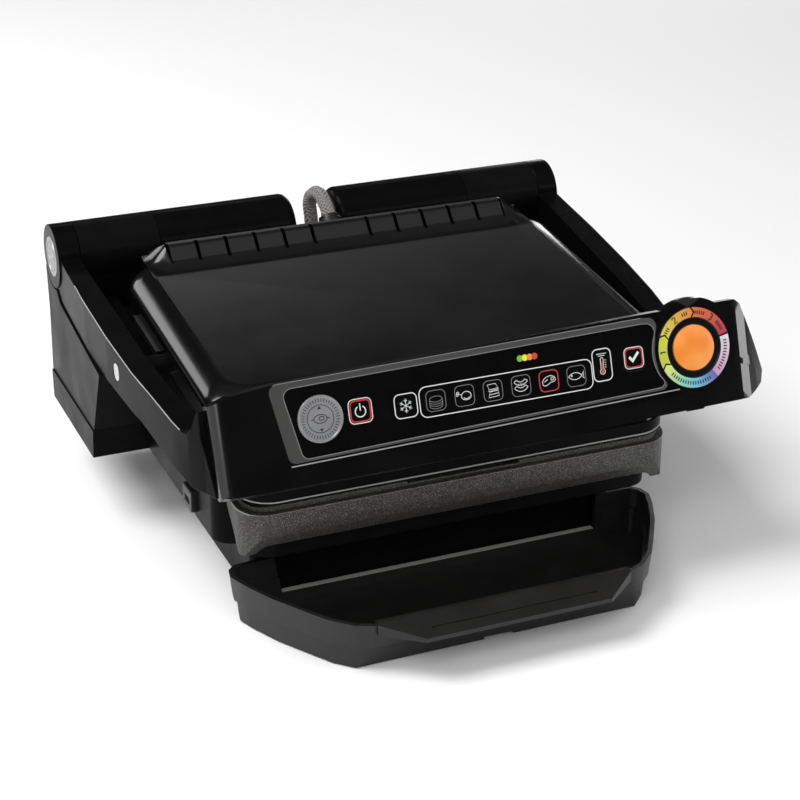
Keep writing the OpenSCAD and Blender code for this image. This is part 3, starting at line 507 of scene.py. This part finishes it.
def line_print(name, lines, width, place, body, ink, fills=()):
    """Printed lines: each is (points, closed). fills are outlines printed solid."""
    bm = bmesh.new()
    for points, closed in lines:
        ribbon(bm, points, width, INK_LOW, INK_HIGH, closed)
    for outline in fills:
        plate_shape(bm, outline, INK_LOW, INK_HIGH)
    return add_piece(name, mesh_from(bm, name, smooth=False), body, ink, place)


# ---------- moulded pieces: the CAD solids with rounded edges, two of them reshaped ----------
BAR_LEFT, BAR_RIGHT = -156.0, 188.0
BAR_DEPTH, BAR_LEAST_DEPTH = 20.0, 6.0
LEFT_ROUND = 15.0
LEFT_STEPS = 12
# the right end is swept back from its start on, and drawn out lengthwise
RIGHT_START, RIGHT_RADIUS = 171.0, 27.0
RIGHT_STRETCH = 1.45
RIGHT_STEPS = 8


def set_back(x):
    """How far the bar's face falls back at x, rounded at the left end and swept back at the right."""
    if x < BAR_LEFT + LEFT_ROUND:
        reach = min(LEFT_ROUND, BAR_LEFT + LEFT_ROUND - x)
        return LEFT_ROUND - math.sqrt(max(0.0, LEFT_ROUND ** 2 - reach ** 2)) * 0.999
    if x > RIGHT_START:
        return (x - RIGHT_START) ** 2 / (2 * RIGHT_RADIUS)
    return 0.0


def sweep_bar_ends(bm):
    """Cuts the bar across at both ends, draws its right end out and moves its face back along two curves."""
    to_panel = panel_matrix().inverted()
    from_panel = panel_matrix()
    bm.transform(to_panel)
    stations = [BAR_LEFT + LEFT_ROUND * (1 - math.cos(math.radians(90 / LEFT_STEPS * k)))
                for k in range(1, LEFT_STEPS)]
    stations += [RIGHT_START + (BAR_RIGHT - RIGHT_START) * k / RIGHT_STEPS for k in range(RIGHT_STEPS)]
    for x in stations:
        geometry = bm.verts[:] + bm.edges[:] + bm.faces[:]
        bmesh.ops.bisect_plane(bm, geom=geometry, plane_co=(x, 0, 0), plane_no=(1, 0, 0), dist=1e-4)
    for vert in bm.verts:
        if vert.co.x > RIGHT_START:
            vert.co.x = RIGHT_START + (vert.co.x - RIGHT_START) * RIGHT_STRETCH
        back = min(set_back(vert.co.x), BAR_DEPTH - BAR_LEAST_DEPTH)
        if back > 0 and vert.co.z > -BAR_DEPTH:
            vert.co.z = vert.co.z * (1 - back / BAR_DEPTH) - back
    bm.transform(from_panel)


HEAD_TOP, HEAD_REAR, RIM_RISE = 61.0, 112.0, 10.0
RIM_END, RIM_TAPER = 116.0, 15.0
RIM_SLACK = 0.05
# rise of the rear rim over its foot, as (place along the deck, share of the full rise)
RIM_SHAPE = [(-26, 0), (-18, 0.08), (-11, 0.3), (-7, 0.62), (-4.5, 0.88), (-2, 1), (2, 1), (4.2, 0.85),
             (5, 0.5)]


def rim_share(y):
    """Share of the rim's full rise at y along the deck, 0 beside the rim."""
    for (y0, k0), (y1, k1) in zip(RIM_SHAPE, RIM_SHAPE[1:]):
        if y0 <= y <= y1:
            return k0 + (k1 - k0) * (y - y0) / (y1 - y0)
    return 0.0


def taper_rim_ends(bm):
    """The rim sinks smoothly into the cover at both ends."""
    to_deck = deck_matrix().inverted()
    from_deck = deck_matrix()
    bm.transform(to_deck)
    for vert in bm.verts:
        past = abs(vert.co.x) - RIM_END
        share = rim_share(vert.co.y - HEAD_REAR)
        if past > -RIM_SLACK and vert.co.z > HEAD_TOP + RIM_SLACK and share:
            t = min(1.0, max(0.0, past / RIM_TAPER))
            vert.co.z = HEAD_TOP + share * RIM_RISE * (1 - t * t * (3 - 2 * t))
    bm.transform(from_deck)
    bmesh.ops.remove_doubles(bm, verts=bm.verts, dist=2e-5)


RESHAPE = {"control_bar": sweep_bar_ends, "head_cover": taper_rim_ends}
# nodes whose shallow edges stay crisp, in degrees
SMOOTH_LIMIT = {"control_bar": 10}
# nodes whose finish isn't their slot's
NODE_FINISH = {"arm_left": "arm", "arm_right": "arm", "rear_housing": "arm"}
# width of the rounding along each moulded piece's edges
EDGES = {
    "base_shell": 1.4, "base_plinth": 1.5, "rear_housing": 1.6, "bottom_cover": 0.5,
    "arm_left": 1.8, "arm_right": 1.8, "control_bar": 1.8, "head_cover": 1.1, "head_skirt": 1.0,
    "drip_tray": 1.0, "lower_plate": 0.8, "upper_plate": 0.8, "control_fascia": 0.25, "lead_boot": 0.5,
    "lead_collar": 0.8, "lower_release": 0.7, "upper_release": 0.7, "indicator_ring": 0.5, "round_badge": 0.3,
    "end_cap_left": 0.3, "end_cap_right": 0.3, "pivot_screw_left": 0.4, "pivot_screw_right": 0.4,
    "mains_gland": 0.5, "rubber_feet": 0.6, "plate_clip": 0.25,
}
KEY_EDGE = 0.3
KEYS = [n for n in NODES if n.startswith("key_")]
for node_name, edge in EDGES.items():
    soften(node_name, edge)
for node_name in KEYS:
    soften(node_name, KEY_EDGE)
for node_name, cad in NODES.items():
    cad.data.materials.clear()
    cad.data.materials.append(FINISH[SLOTS[node_name]])


# ---------- printed symbols on the keys ----------
PROGRAM_ROW = 18.8
# how far down the panel the other keys' middles are
KEY_ROWS = {"key_power": 17.2, "key_manual": 15.0, "key_confirm": 14.0}


def key_matrix(node):
    """Local millimetres at the middle of a key's face."""
    low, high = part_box(node)
    across = ((low + high) / 2 - Vector((SHIFT, PANEL_Y, PANEL_Z))).dot(PANEL_RIGHT) / MM
    return panel_matrix(across, KEY_ROWS.get(node, PROGRAM_ROW))


# each symbol is a function that gives its lines, as (points, closed), and its filled outlines


def power_symbol():
    return [(arc(0, -0.3, 3.1, 118, 422, 28), False), ([(0, 0.2), (0, 4.2)], False)], []


def frost_symbol():
    lines = []
    for k in range(6):
        a = math.radians(30 + 60 * k)
        tip = (4.0 * math.cos(a), 4.0 * math.sin(a))
        lines.append(([(0, 0), tip], False))
        knee = (2.4 * math.cos(a), 2.4 * math.sin(a))
        for turn in (-50, 50):
            b = a + math.radians(turn)
            lines.append(([knee, (knee[0] + 1.3 * math.cos(b), knee[1] + 1.3 * math.sin(b))], False))
    return lines, []


def burger_symbol():
    lid = arc(0, 0.9, 3.9, 0, 360, 28, 0.42)
    lines = [(lid, True)]
    for drop in (1.3, 2.6, 3.9):
        lines.append((arc(0, 0.9 - drop, 3.9, 180, 360, 16, 0.42), False))
    lines += [([(sx * 3.9, 0.9), (sx * 3.9, -3.0)], False) for sx in (-1, 1)]
    return lines, []


def poultry_symbol():
    lines = [(arc(1.0, -0.2, 3.0, 0, 360, 26, 0.8), True), (arc(1.2, -0.8, 1.7, 190, 350, 12, 0.7), False)]
    lines += [([(-1.7, 0.4), (-3.6, 1.4)], False), (arc(-4.2, 1.9, 0.7, 0, 360, 10), True)]
    lines += [(arc(-4.5, 0.9, 0.7, 0, 360, 10), True)]
    return lines, []


def sandwich_symbol():
    top = [(-3.4, 3.6), (1.8, 3.9), (3.2, 1.2), (-2.2, 0.7)]
    low = [(-2.0, -0.6), (3.2, -0.2), (3.6, -3.4), (-3.0, -3.8)]
    filling = [(-3.0, 0.1), (-1.2, -0.3), (0.4, 0.3), (2.2, 0.2), (3.6, 0.7)]
    return [(top, True), (low, True), (filling, False), ([(-2.6, -2.2), (3.4, -1.8)], False)], []


def sausage(cx, cy):
    outer = arc(cx, cy + 3.2, 5.2, 215, 325, 14)
    inner = arc(cx, cy + 3.2, 3.2, 325, 215, 14)
    return outer + inner


def sausage_symbol():
    grill = [([(x, 1.3), (x + 0.5, 0.2)], False) for x in (-1.6, -0.2, 1.2)]
    return [(sausage(0, 2.2), True), (sausage(0, -1.3), True)] + grill, []


def steak_symbol():
    outline = [(-4.2, -0.6), (-3.4, 1.2), (-1.4, 2.4), (1.2, 2.9), (3.6, 2.0), (4.3, 0.2), (3.0, -1.0),
               (1.0, -1.0), (-0.4, -2.0), (-2.4, -2.8), (-3.9, -2.2)]
    return [(outline, True), (arc(2.2, 0.9, 0.9, 0, 360, 12), True), ([(-3.0, -0.4), (-0.6, 0.9)], False)], []


def fish_symbol():
    top = arc(-0.8, -3.6, 5.6, 40, 140, 16)
    low = arc(-0.8, 3.6, 5.6, 220, 320, 16)
    tail = [(3.3, 0), (5.0, 2.2), (4.6, 0), (5.0, -2.2), (3.3, 0)]
    return [(top + low, True), (tail, False), (arc(-3.0, 0.4, 0.4, 0, 360, 8), True)], []


def thermometer_symbol():
    bulb = arc(0, -3.9, 1.6, 55, -235, 18)
    stem = [(-0.9, 3.4)] + arc(0, 3.4, 0.9, 180, 0, 8) + [(0.9, -2.6)] + bulb + [(-0.9, -2.6)]
    ticks = [([(1.8, y), (2.7, y)], False) for y in (2.6, 1.2, -0.2, -1.6)]
    header = [([(-3.2, 6.6), (3.2, 6.6)], False), ([(-2.2, 5.4), (2.2, 5.4)], False)]
    return [(stem, True)] + ticks + header, []


def tick_symbol():
    tick = [(-3.6, 0.2), (-2.4, 1.3), (-0.9, -0.5), (2.7, 3.6), (3.8, 2.5), (-0.9, -2.9)]
    return [], [tick]


# symbol, line width and ink of each key
SYMBOLS = {
    "key_power": (power_symbol, 0.62, INK_WHITE), "key_frozen": (frost_symbol, 0.34, INK_WHITE),
    "key_burger": (burger_symbol, 0.30, INK_GREY), "key_poultry": (poultry_symbol, 0.36, INK_WHITE),
    "key_sandwich": (sandwich_symbol, 0.34, INK_WHITE), "key_sausage": (sausage_symbol, 0.36, INK_WHITE),
    "key_meat": (steak_symbol, 0.36, INK_WHITE), "key_fish": (fish_symbol, 0.36, INK_WHITE),
    "key_manual": (thermometer_symbol, 0.36, INK_WHITE), "key_confirm": (tick_symbol, 0.5, INK_WHITE),
}
# half width, half height, corner radius of each printed key outline, with its width and ink
OUTLINES = {
    "key_power": [((6.9, 6.9, 3.1), 0.5, INK_WHITE), ((5.9, 5.9, 2.6), 0.75, INK_RED)],
    "key_frozen": [((6.8, 6.8, 3.1), 0.55, INK_WHITE)],
    "key_meat": [((6.0, 6.0, 3.0), 0.6, INK_RED)],
    "key_manual": [((6.0, 9.4, 3.2), 0.6, INK_WHITE)],
    "key_confirm": [((6.2, 6.2, 2.8), 0.5, INK_WHITE), ((5.4, 5.4, 2.4), 0.7, INK_RED)],
}
PROGRAM_OUTLINES = [((5.9, 5.9, 2.9), 0.3, INK_GREY)]
for node_name in KEYS:
    draw, stroke_width, ink = SYMBOLS[node_name]
    symbol_lines, symbol_fills = draw()
    face = key_matrix(node_name)
    line_print(node_name + "_symbol", symbol_lines, stroke_width, face, node_name, ink, symbol_fills)
    for k, (size, stroke_width, ink) in enumerate(OUTLINES.get(node_name, PROGRAM_OUTLINES)):
        outline = [(rounded_box(*size), True)]
        line_print(f"{node_name}_outline_{k}", outline, stroke_width, face, node_name, ink)
MERCURY = print_ink("ink_mercury", (0.62, 0.10, 0.03))
line_print("key_manual_mercury", [([(0, -3.4), (0, 1.8)], False)], 0.7, key_matrix("key_manual"), "key_manual",
           MERCURY, [arc(0, -3.9, 0.95, 0, 345, 16)])

# ---------- print on the fascia ----------
FASCIA = panel_matrix()
# the line round the six programme keys: half width, half height, corner radius and middle
GROUP_BOX = (54.6, 8.7, 4.2, 20.4, -PROGRAM_ROW)
line_print("group_outline", [(rounded_box(*GROUP_BOX), True)], 0.55, FASCIA, "lid", INK_WHITE)
LEVELS = {"green": (0.16, 0.46, 0.03), "yellow": (0.83, 0.72, 0.03), "orange": (0.80, 0.27, 0.02),
          "red": (0.62, 0.04, 0.03)}
# the dots overlap like fish scales, each one a little above the dot before it
LEVEL_X, LEVEL_DOWN, LEVEL_STEP, LEVEL_LIFT, LEVEL_RADIUS = 30.2, 3.2, 3.1, 0.02, 1.9
for k, (color_name, color) in enumerate(LEVELS.items()):
    place = panel_matrix(LEVEL_X + LEVEL_STEP * k, LEVEL_DOWN, LEVEL_LIFT * k)
    line_print("level_dot_" + color_name, [], 0, place, "lid", print_ink("ink_" + color_name, color),
               [arc(0, 0, LEVEL_RADIUS, 0, 345, 22)])

# ---------- frame of the control window ----------
WINDOW_LEFT, WINDOW_TOP, WINDOW_FOOT = -113.7, 1.7, -38.7
UPPER_ROUND, LOWER_ROUND = 5.0, 4.6
LOWER_INSET = 11
# the window's right side follows a circle round the indicator
WINDOW_RING = 27.5
# width of the frame's band at the left, beside the ring, above and below
BAND_LEFT, BAND_RING, BAND_ABOVE, BAND_BELOW = 7.9, 1.6, 3.4, 1.5
# the left side ends at the first x, the ring's side starts at the second
BAND_LEFT_END, BAND_RING_START = -90, 112
BAND_LOW, BAND_HIGH = -0.3, 0.22
# half the height beside the indicator's middle that belongs neither to the top nor to the foot
BAND_SIDE_HALF = 8


def window_loop():
    """Inner edge of the frame, clockwise from the lower left corner."""
    top = [(110, 4.9), (114.5, 4.4), (117.0, 2.6), (118.3, -0.4)]
    ring_side = arc(DIAL_X, -DIAL_DOWN, WINDOW_RING, 156, 208, 10)
    foot = [(121.2, -30.2), (121.6, -32.4), (119.6, -34.2), (116, -34.5)]
    upper_left = arc(WINDOW_LEFT + UPPER_ROUND, WINDOW_TOP - UPPER_ROUND, UPPER_ROUND, 180, 92, 7)
    lower_left = arc(WINDOW_LEFT + LOWER_INSET, WINDOW_FOOT + LOWER_ROUND, LOWER_ROUND, 268, 188, 7)
    return lower_left + upper_left + top + ring_side + foot


def frame_edge(point):
    """The outer edge of the frame beside a point of its inner edge."""
    x, y = point
    side = -BAND_LEFT if x < BAND_LEFT_END else (BAND_RING if x > BAND_RING_START else 0.0)
    above = y + DIAL_DOWN
    lift = BAND_ABOVE if above > BAND_SIDE_HALF else (-BAND_BELOW if above < -BAND_SIDE_HALF else 0.0)
    return x + side, y + lift


def loft_band(bm, inner, outer, low, high):
    """A raised flat band between two loops of equal length."""
    rings = [[bm.verts.new((x, y, z)) for x, y in loop] for loop, z in
             ((outer, low), (outer, high), (inner, high), (inner, low))]
    count = len(inner)
    for a, b in zip(rings, rings[1:] + rings[:1]):
        for i in range(count):
            k = (i + 1) % count
            bm.faces.new((a[i], a[k], b[k], b[i]))


def make_window_frame():
    inner = window_loop()
    bm = bmesh.new()
    loft_band(bm, inner, [frame_edge(point) for point in inner], BAND_LOW, BAND_HIGH)
    band = mesh_from(bm, "window_frame", smooth=False)
    add_piece("window_frame", band, "lid", FINISH["frame_band"], FASCIA)
    # painted highlight: thin lines in the grey ink along the frame's inner edge and along its top edge stand in
    # for light caught by those edges
    top_edge = [frame_edge((x, y)) for x, y in inner if y > 1 and abs(x) < BAND_RING_START]
    line_print("window_edge_highlight", [(inner, True), (top_edge, False)], 0.42, panel_matrix(out=BAND_HIGH), "lid",
               INK_GREY)


make_window_frame()


# ---------- painted highlights: light grey strips along edges ---
def painted_highlight_line(name, points, width, body, place, low=-0.2, high=0.28):
    """A thin light grey strip along an edge: a painted highlight."""
    bm = bmesh.new()
    ribbon(bm, points, width, low, high)
    return add_piece(name, mesh_from(bm, name), body, FINISH["painted_highlight"], place)


def front_edge(half, front, radius, rear):
    """The front of a plate's outline, from its left side round both corners to its right side."""
    return ([(-half, rear)] + arc(-half + radius, front + radius, radius, 180, 270, 10)
            + arc(half - radius, front + radius, radius, 270, 360, 10) + [(half, rear)])


HIGHLIGHT_STRIP_WIDTH = 0.8
# a painted highlight along the foot of the bar's face, as (right, up) on the panel
BAR_FOOT = [(-114, -41.6), (0, -39.7), (131, -37.3)]
BAR_FOOT_WIDTH = 0.7
painted_highlight_line("bar_foot_highlight", BAR_FOOT, BAR_FOOT_WIDTH, "lid", FASCIA)

APRON_LOW, APRON_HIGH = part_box("lower_plate")
APRON_HALF = (APRON_HIGH.x - APRON_LOW.x) / 2 / MM
SKIRT_FOOT = front_edge(half=APRON_HALF - 0.6, front=-103, radius=21, rear=-60)
APRON_TOP = front_edge(half=APRON_HALF, front=-103.6, radius=17, rear=-66)
# painted highlights: light grey strips along the foot of the head's skirt and along the top of the plate's
# apron
painted_highlight_line("skirt_foot_highlight", SKIRT_FOOT, HIGHLIGHT_STRIP_WIDTH, "head", deck_matrix(), low=6.4, high=7.2)
painted_highlight_line("apron_top_highlight", APRON_TOP, HIGHLIGHT_STRIP_WIDTH, "base", deck_matrix(), low=-1.2, high=-0.4)

# the arms' tops rise backwards, and are 5 mm over the hinge's axis at y = 149
ARM_RISE = 0.128
ARM_TOP = HINGE_Z / MM + 5 - 149 * ARM_RISE
ARM_INSET = 0.35
ARM_LINE_RADIUS = 0.4
# outer top edge of an arm, from the hinge to the bar, as (x, y)
ARM_EDGE = [(177, 104), (177, 82), (175.6, 36), (172.7, -8), (169, -38), (166, -66), (164.3, -76)]


def round_line(name, radius, resolution, runs):
    """A curve of round section along each run of points, all in millimetres."""
    data = bpy.data.curves.new(name, "CURVE")
    data.dimensions = "3D"
    data.bevel_depth = radius * MM
    data.bevel_resolution = resolution
    for run in runs:
        spline = data.splines.new("POLY")
        spline.points.add(len(run) - 1)
        for point, place in zip(spline.points, run):
            point.co = (*(place * MM), 1)
    line = bpy.data.objects.new(name, data)
    bpy.context.scene.collection.objects.link(line)
    return line


def arm_highlight_line(name, side):
    """A painted highlight: the thin light grey line along an arm's outer top edge."""
    run = [Vector((SHIFT / MM + side * (x - ARM_INSET), y, ARM_TOP + y * ARM_RISE - ARM_INSET))
           for x, y in ARM_EDGE]
    line = round_line(name, ARM_LINE_RADIUS, 2, [run])
    line.data.materials.append(FINISH["painted_highlight"])
    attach(line, "lid")


arm_highlight_line("arm_left_highlight", -1)
arm_highlight_line("arm_right_highlight", 1)

# a painted highlight: a light grey strip on the rounded crest between the tray's rear slope and its floor
TRAY_CREST_Y, TRAY_CREST_Z, TRAY_CREST_HALF = -67.6, 9.0, 104.0
TRAY_CREST_WIDTH = 3.4
CREST_PLACE = Matrix.Translation((SHIFT, TRAY_CREST_Y * MM, TRAY_CREST_Z * MM)) @ Matrix.Scale(MM, 4)
painted_highlight_line("tray_crest_highlight", [(-TRAY_CREST_HALF, 0), (TRAY_CREST_HALF, 0)], TRAY_CREST_WIDTH, "tray",
          CREST_PLACE, low=-0.4, high=0.5)

# ---------- indicator ring ----------
RING_TOP = 1.2
RING_IN, RING_OUT = 18.2, 23.9
# zones of the print: start and end angle, whether each is a chevron, and (share of the way, colour)
ZONES = [
    (203, 158, True, True, [(0, (0.50, 0.54, 0.06)), (1, (0.58, 0.58, 0.06))]),
    (155, 91, True, True, [(0, (0.64, 0.58, 0.08)), (1, (0.68, 0.22, 0.05))]),
    (88, 15, True, False, [(0, (0.66, 0.16, 0.05)), (1, (0.46, 0.035, 0.07))]),
    (12, -54, False, False, [(0, (0.70, 0.66, 0.70)), (1, (0.54, 0.28, 0.48))]),
    (-54, -154, False, True, [(0, (0.12, 0.11, 0.38)), (0.35, (0.16, 0.46, 0.68)), (0.65, (0.28, 0.62, 0.42)),
                              (1, (0.64, 0.74, 0.16))]),
]
ZONE_STEPS, ZONE_ROWS = 24, 6
CHEVRON_DEGREES = 5.0


def stops_color(stops, t):
    """The colour at t between the stops."""
    for (t0, c0), (t1, c1) in zip(stops, stops[1:]):
        if t <= t1:
            return tuple(a + (b - a) * (t - t0) / (t1 - t0) for a, b in zip(c0, c1))
    return stops[-1][1]


def chevron_lag(radius_share):
    """How far a chevron points ahead at this share of the ring's width, in degrees."""
    return CHEVRON_DEGREES * (1 - abs(2 * radius_share - 1))


def zone_grid(bm, start, end, start_pointed, end_pointed):
    """Rows of points over one zone, each row from the ring's inner edge to its outer one."""
    grid = []
    for i in range(ZONE_STEPS + 1):
        row = []
        for k in range(ZONE_ROWS + 1):
            share = k / ZONE_ROWS
            a0 = start - (chevron_lag(share) if start_pointed else 0)
            a1 = end - (chevron_lag(share) if end_pointed else 0)
            a = math.radians(a0 + (a1 - a0) * i / ZONE_STEPS)
            radius = RING_IN + (RING_OUT - RING_IN) * share
            row.append(bm.verts.new((radius * math.cos(a), radius * math.sin(a), INK_HIGH)))
        grid.append(row)
    return grid


def make_ring_print():
    bm = bmesh.new()
    paint = bm.loops.layers.float_color.new("zone")
    for start, end, start_pointed, end_pointed, stops in ZONES:
        grid = zone_grid(bm, start, end, start_pointed, end_pointed)
        for i in range(ZONE_STEPS):
            color = stops_color(stops, (i + 0.5) / ZONE_STEPS)
            for k in range(ZONE_ROWS):
                face = bm.faces.new((grid[i][k], grid[i][k + 1], grid[i + 1][k + 1], grid[i + 1][k]))
                for loop in face.loops:
                    loop[paint] = (*color, 1)
    mesh = mesh_from(bm, "ring_zones", smooth=False)
    return add_piece("ring_zones", mesh, "lid", painted_ring(),
                     panel_matrix(DIAL_X, DIAL_DOWN, RING_TOP))


make_ring_print()

# the figures' strokes, in millimetres from their middle
DIGITS = {
    1: [[(-0.7, 1.1), (0.2, 1.9), (0.2, -1.9)]],
    2: [arc(0, 0.9, 1.1, 160, -20, 8) + [(-1.1, -1.9), (1.2, -1.9)]],
    3: [arc(0, 0.95, 1.0, 150, -80, 8) + arc(0, -0.95, 1.05, 80, -150, 8)],
}


# each figure with its angle; first angle, last angle and number of ticks of each row
FIGURES = ((1, 180), (2, 123), (3, 52))
TICKS = ((140, 148, 3), (98, 106, 3), (66, 82, 5), (24, 38, 5), (-44, 4, 11), (-140, -66, 17))
TICK_HALF = 1.1
MARKS_LIFT = 0.06


def turned(points, angle, radius):
    """Points drawn upright, moved out to a radius and turned to face away from the middle."""
    outward = Vector((math.cos(math.radians(angle)), math.sin(math.radians(angle))))
    onward = Vector((outward.y, -outward.x))
    return [tuple(onward * x + outward * (y + radius)) for x, y in points]


def make_ring_marks():
    """Plain numbers 1 to 3 for the three cooking levels and fine ticks beside them."""
    lines = []
    middle = (RING_IN + RING_OUT) / 2
    for number, angle in FIGURES:
        lines += [(turned(points, angle, middle), False) for points in DIGITS[number]]
    for first, last, count in TICKS:
        for i in range(count):
            a = first + (last - first) * i / (count - 1)
            lines.append((turned([(0, -TICK_HALF), (0, TICK_HALF)], a, middle), False))
    line_print("ring_marks", lines, 0.75, panel_matrix(DIAL_X, DIAL_DOWN, RING_TOP + MARKS_LIFT), "lid",
               INK_BLACK)


make_ring_marks()


# ---------- domed lens ----------
LENS_RADIUS, LENS_BASE, LENS_RISE, LENS_FOOT = 13.6, 0.9, 1.0, -0.6
DOME_POWER = 2.4


def turned_solid(name, profile, place, body, material, steps=96):
    """A solid of revolution about local z; profile is (radius, height) from the axis outwards and back."""
    bm = bmesh.new()
    rings = []
    angles = [2 * math.pi * i / steps for i in range(steps)]
    for radius, height in profile:
        if radius < 1e-6:
            rings.append([bm.verts.new((0, 0, height))])
        else:
            rings.append([bm.verts.new((radius * math.cos(a), radius * math.sin(a), height)) for a in angles])
    for a, b in zip(rings, rings[1:]):
        for i in range(steps):
            k = (i + 1) % steps
            corners = []
            for vert in (a[i % len(a)], a[k % len(a)], b[k % len(b)], b[i % len(b)]):
                if vert not in corners:
                    corners.append(vert)
            if len(corners) > 2:
                bm.faces.new(corners)
    return add_piece(name, mesh_from(bm, name), body, material, place)


def dome_profile(steps=10):
    """From the top of the lens over its dome and down its side to the middle of its foot."""
    profile = []
    for i in range(steps + 1):
        share = i / steps
        profile.append((LENS_RADIUS * share, LENS_BASE + LENS_RISE * (1 - share ** DOME_POWER)))
    return profile + [(LENS_RADIUS, LENS_FOOT), (0.0, LENS_FOOT)]


lens = turned_solid("lens_dome", dome_profile(), panel_matrix(DIAL_X, DIAL_DOWN), "lid", FINISH["lens"])
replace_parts(lens, "indicator_lens")


# ---------- silver badge and hinge discs ----------
ENGRAVED = print_ink("engraved_grey", (0.014, 0.014, 0.015))


def disc_marks(name, place, circle, ticks, tick_from, tick_to, width, triangles=()):
    """A circle, a ring of ticks and small triangles at (angle, radius) on a disc."""
    lines = [(arc(0, 0, circle, 0, 360 - 360 / 48, 47), True)]
    for i in range(ticks):
        a = math.radians(360 * i / ticks)
        lines.append(([(r * math.cos(a), r * math.sin(a)) for r in (tick_from, tick_to)], False))
    fills = [turned([(-1.2, -0.9), (1.2, -0.9), (0, 0.9)], a, r) for a, r in triangles]
    line_print(name, lines, width, place, "lid", ENGRAVED, fills)


BADGE = panel_matrix(-94.0, 17.7, 0.6)
disc_marks("badge_scale", BADGE, circle=7.8, ticks=40, tick_from=9.4, tick_to=11.4, width=0.42,
           triangles=((90, 6.4), (270, 6.4)))
SYMBOL_LINES = [(arc(0, 0, 3.9, 0, 360, 24, 0.62), True), (arc(0.6, 0.2, 1.5, 0, 360, 14, 0.7), True),
                ([(-3.9, 0), (-5.4, 0)], False), ([(3.9, 0), (5.4, 0)], False)]
line_print("badge_symbol", SYMBOL_LINES, 0.5, BADGE, "lid", ENGRAVED)

for name, side, face_x in (("left", -1, CAP_LEFT[0].x), ("right", 1, CAP_RIGHT[1].x)):
    outward = Vector((side, 0, 0))
    upward = Vector((0, 0, 1))
    turn = Matrix((upward.cross(outward), upward, outward)).transposed().to_4x4()
    face = Matrix.Translation((face_x, HINGE_Y, HINGE_Z)) @ turn @ Matrix.Scale(MM, 4)
    disc_marks(f"hinge_disc_{name}", face, circle=9.6, ticks=8, tick_from=2.6, tick_to=9.2, width=0.5)


# ---------- braided lead: two sets of strands wound against each other ----------
def lead_route():
    """The route of the lead, in millimetres, as the part has it."""
    y = HINGE_Y / MM
    points = [(0, -6, 118), (0, -6, 140), (-0.5, -5.5, 158), (-1.5, -6, 168), (-1.5, -10, 175.5),
              (-0.5, -17, 179.4), (0, -25, 179.2), (0, -32, 175.6), (0, -38, 170.5), (0, -44, 164.5),
              (0, -48, 160.5)]
    return [Vector((SHIFT / MM + px, y + py, pz)) for px, py, pz in points]


def smooth_route(points, per_span):
    """Catmull-Rom through the points."""
    route = []
    for i in range(len(points) - 1):
        p0 = points[max(i - 1, 0)]
        p1 = points[i]
        p2 = points[i + 1]
        p3 = points[min(i + 2, len(points) - 1)]
        for k in range(per_span):
            t = k / per_span
            route.append(0.5 * ((2 * p1) + (p2 - p0) * t + (2 * p0 - 5 * p1 + 4 * p2 - p3) * t * t
                                + (3 * p1 - p0 - 3 * p2 + p3) * t ** 3))
    route.append(points[-1])
    return route


STRANDS = 9
BRAID_TURNS = 3.4
# the strands' middles lie near the core's surface and weave a little in and out
CORE_RADIUS = LEAD_RADIUS - 0.75
STRAND_RADIUS = 0.62
WEAVE = 0.28
STEPS_PER_SPAN = 12


def bend_with_lid(curve):
    """A mesh made from the curve, with the braid's finish, its place baked into its points."""
    mesh = bpy.data.meshes.new_from_object(curve.evaluated_get(bpy.context.evaluated_depsgraph_get()))
    name = curve.name
    bpy.data.objects.remove(curve)
    piece = bpy.data.objects.new(name, mesh)
    bpy.context.scene.collection.objects.link(piece)
    mesh.materials.clear()
    mesh.materials.append(FINISH["braid"])
    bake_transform(piece)
    return piece


def strand(route, way, number):
    """One strand wound round the route; way is -1 for a left-hand winding and 1 for a right-hand one."""
    run = []
    last = len(route) - 1
    for i, place in enumerate(route):
        along = (route[min(i + 1, last)] - route[max(i - 1, 0)]).normalized()
        side = Vector((1, 0, 0))
        side = (side - along * side.dot(along)).normalized()
        up = along.cross(side)
        turn = way * 2 * math.pi * BRAID_TURNS * i / last + 2 * math.pi * number / STRANDS
        radius = CORE_RADIUS + WEAVE * math.sin(STRANDS * turn * way * 0.5 + way * math.pi / 2)
        run.append(place + (side * math.cos(turn) + up * math.sin(turn)) * radius)
    return run


def make_lead():
    route = smooth_route(lead_route(), STEPS_PER_SPAN)
    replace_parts(bend_with_lid(round_line("lead_core", CORE_RADIUS, 6, [route])), "braided_lead")
    for name, way in (("lead_braid_left", -1), ("lead_braid_right", 1)):
        strands = [strand(route, way, number) for number in range(STRANDS)]
        bend_with_lid(round_line(name, STRAND_RADIUS, 2, strands))


make_lead()

# ---------- light ----------
# place, aim, size and watts of each soft light
LIGHTS = {
    "left_back": ((-0.95, 1.6, 0.9), (0, 0.1, 0.12), (0.9, 0.6), 6),
    "right_back": ((1.25, 1.95, 0.40), (0.1, 0, 0.14), (0.5, 0.35), 3.5),
    "side_left": ((-1.9, -0.7, 0.45), (0, 0, 0.1), (0.5, 0.8), 4),
    "side_right": ((1.7, -1.1, 0.35), (0.1, 0, 0.1), (0.4, 0.8), 9),
    "ceiling_left": ((-1.5, 0.3, 2.3), (0, 0, 0), (1.4, 1.4), 60),
    "front_left": ((-1.2, -1.6, 1.8), (0, 0, 0), (1.2, 0.9), 16),
    "front_strip": ((0.84, -1.92, 1.15), (0, -0.1, 0.12), (1.6, 0.12), 5),
}
for light_name, setting in LIGHTS.items():
    area_light(light_name, *setting)
bpy.context.scene.view_settings.view_transform = "Standard"
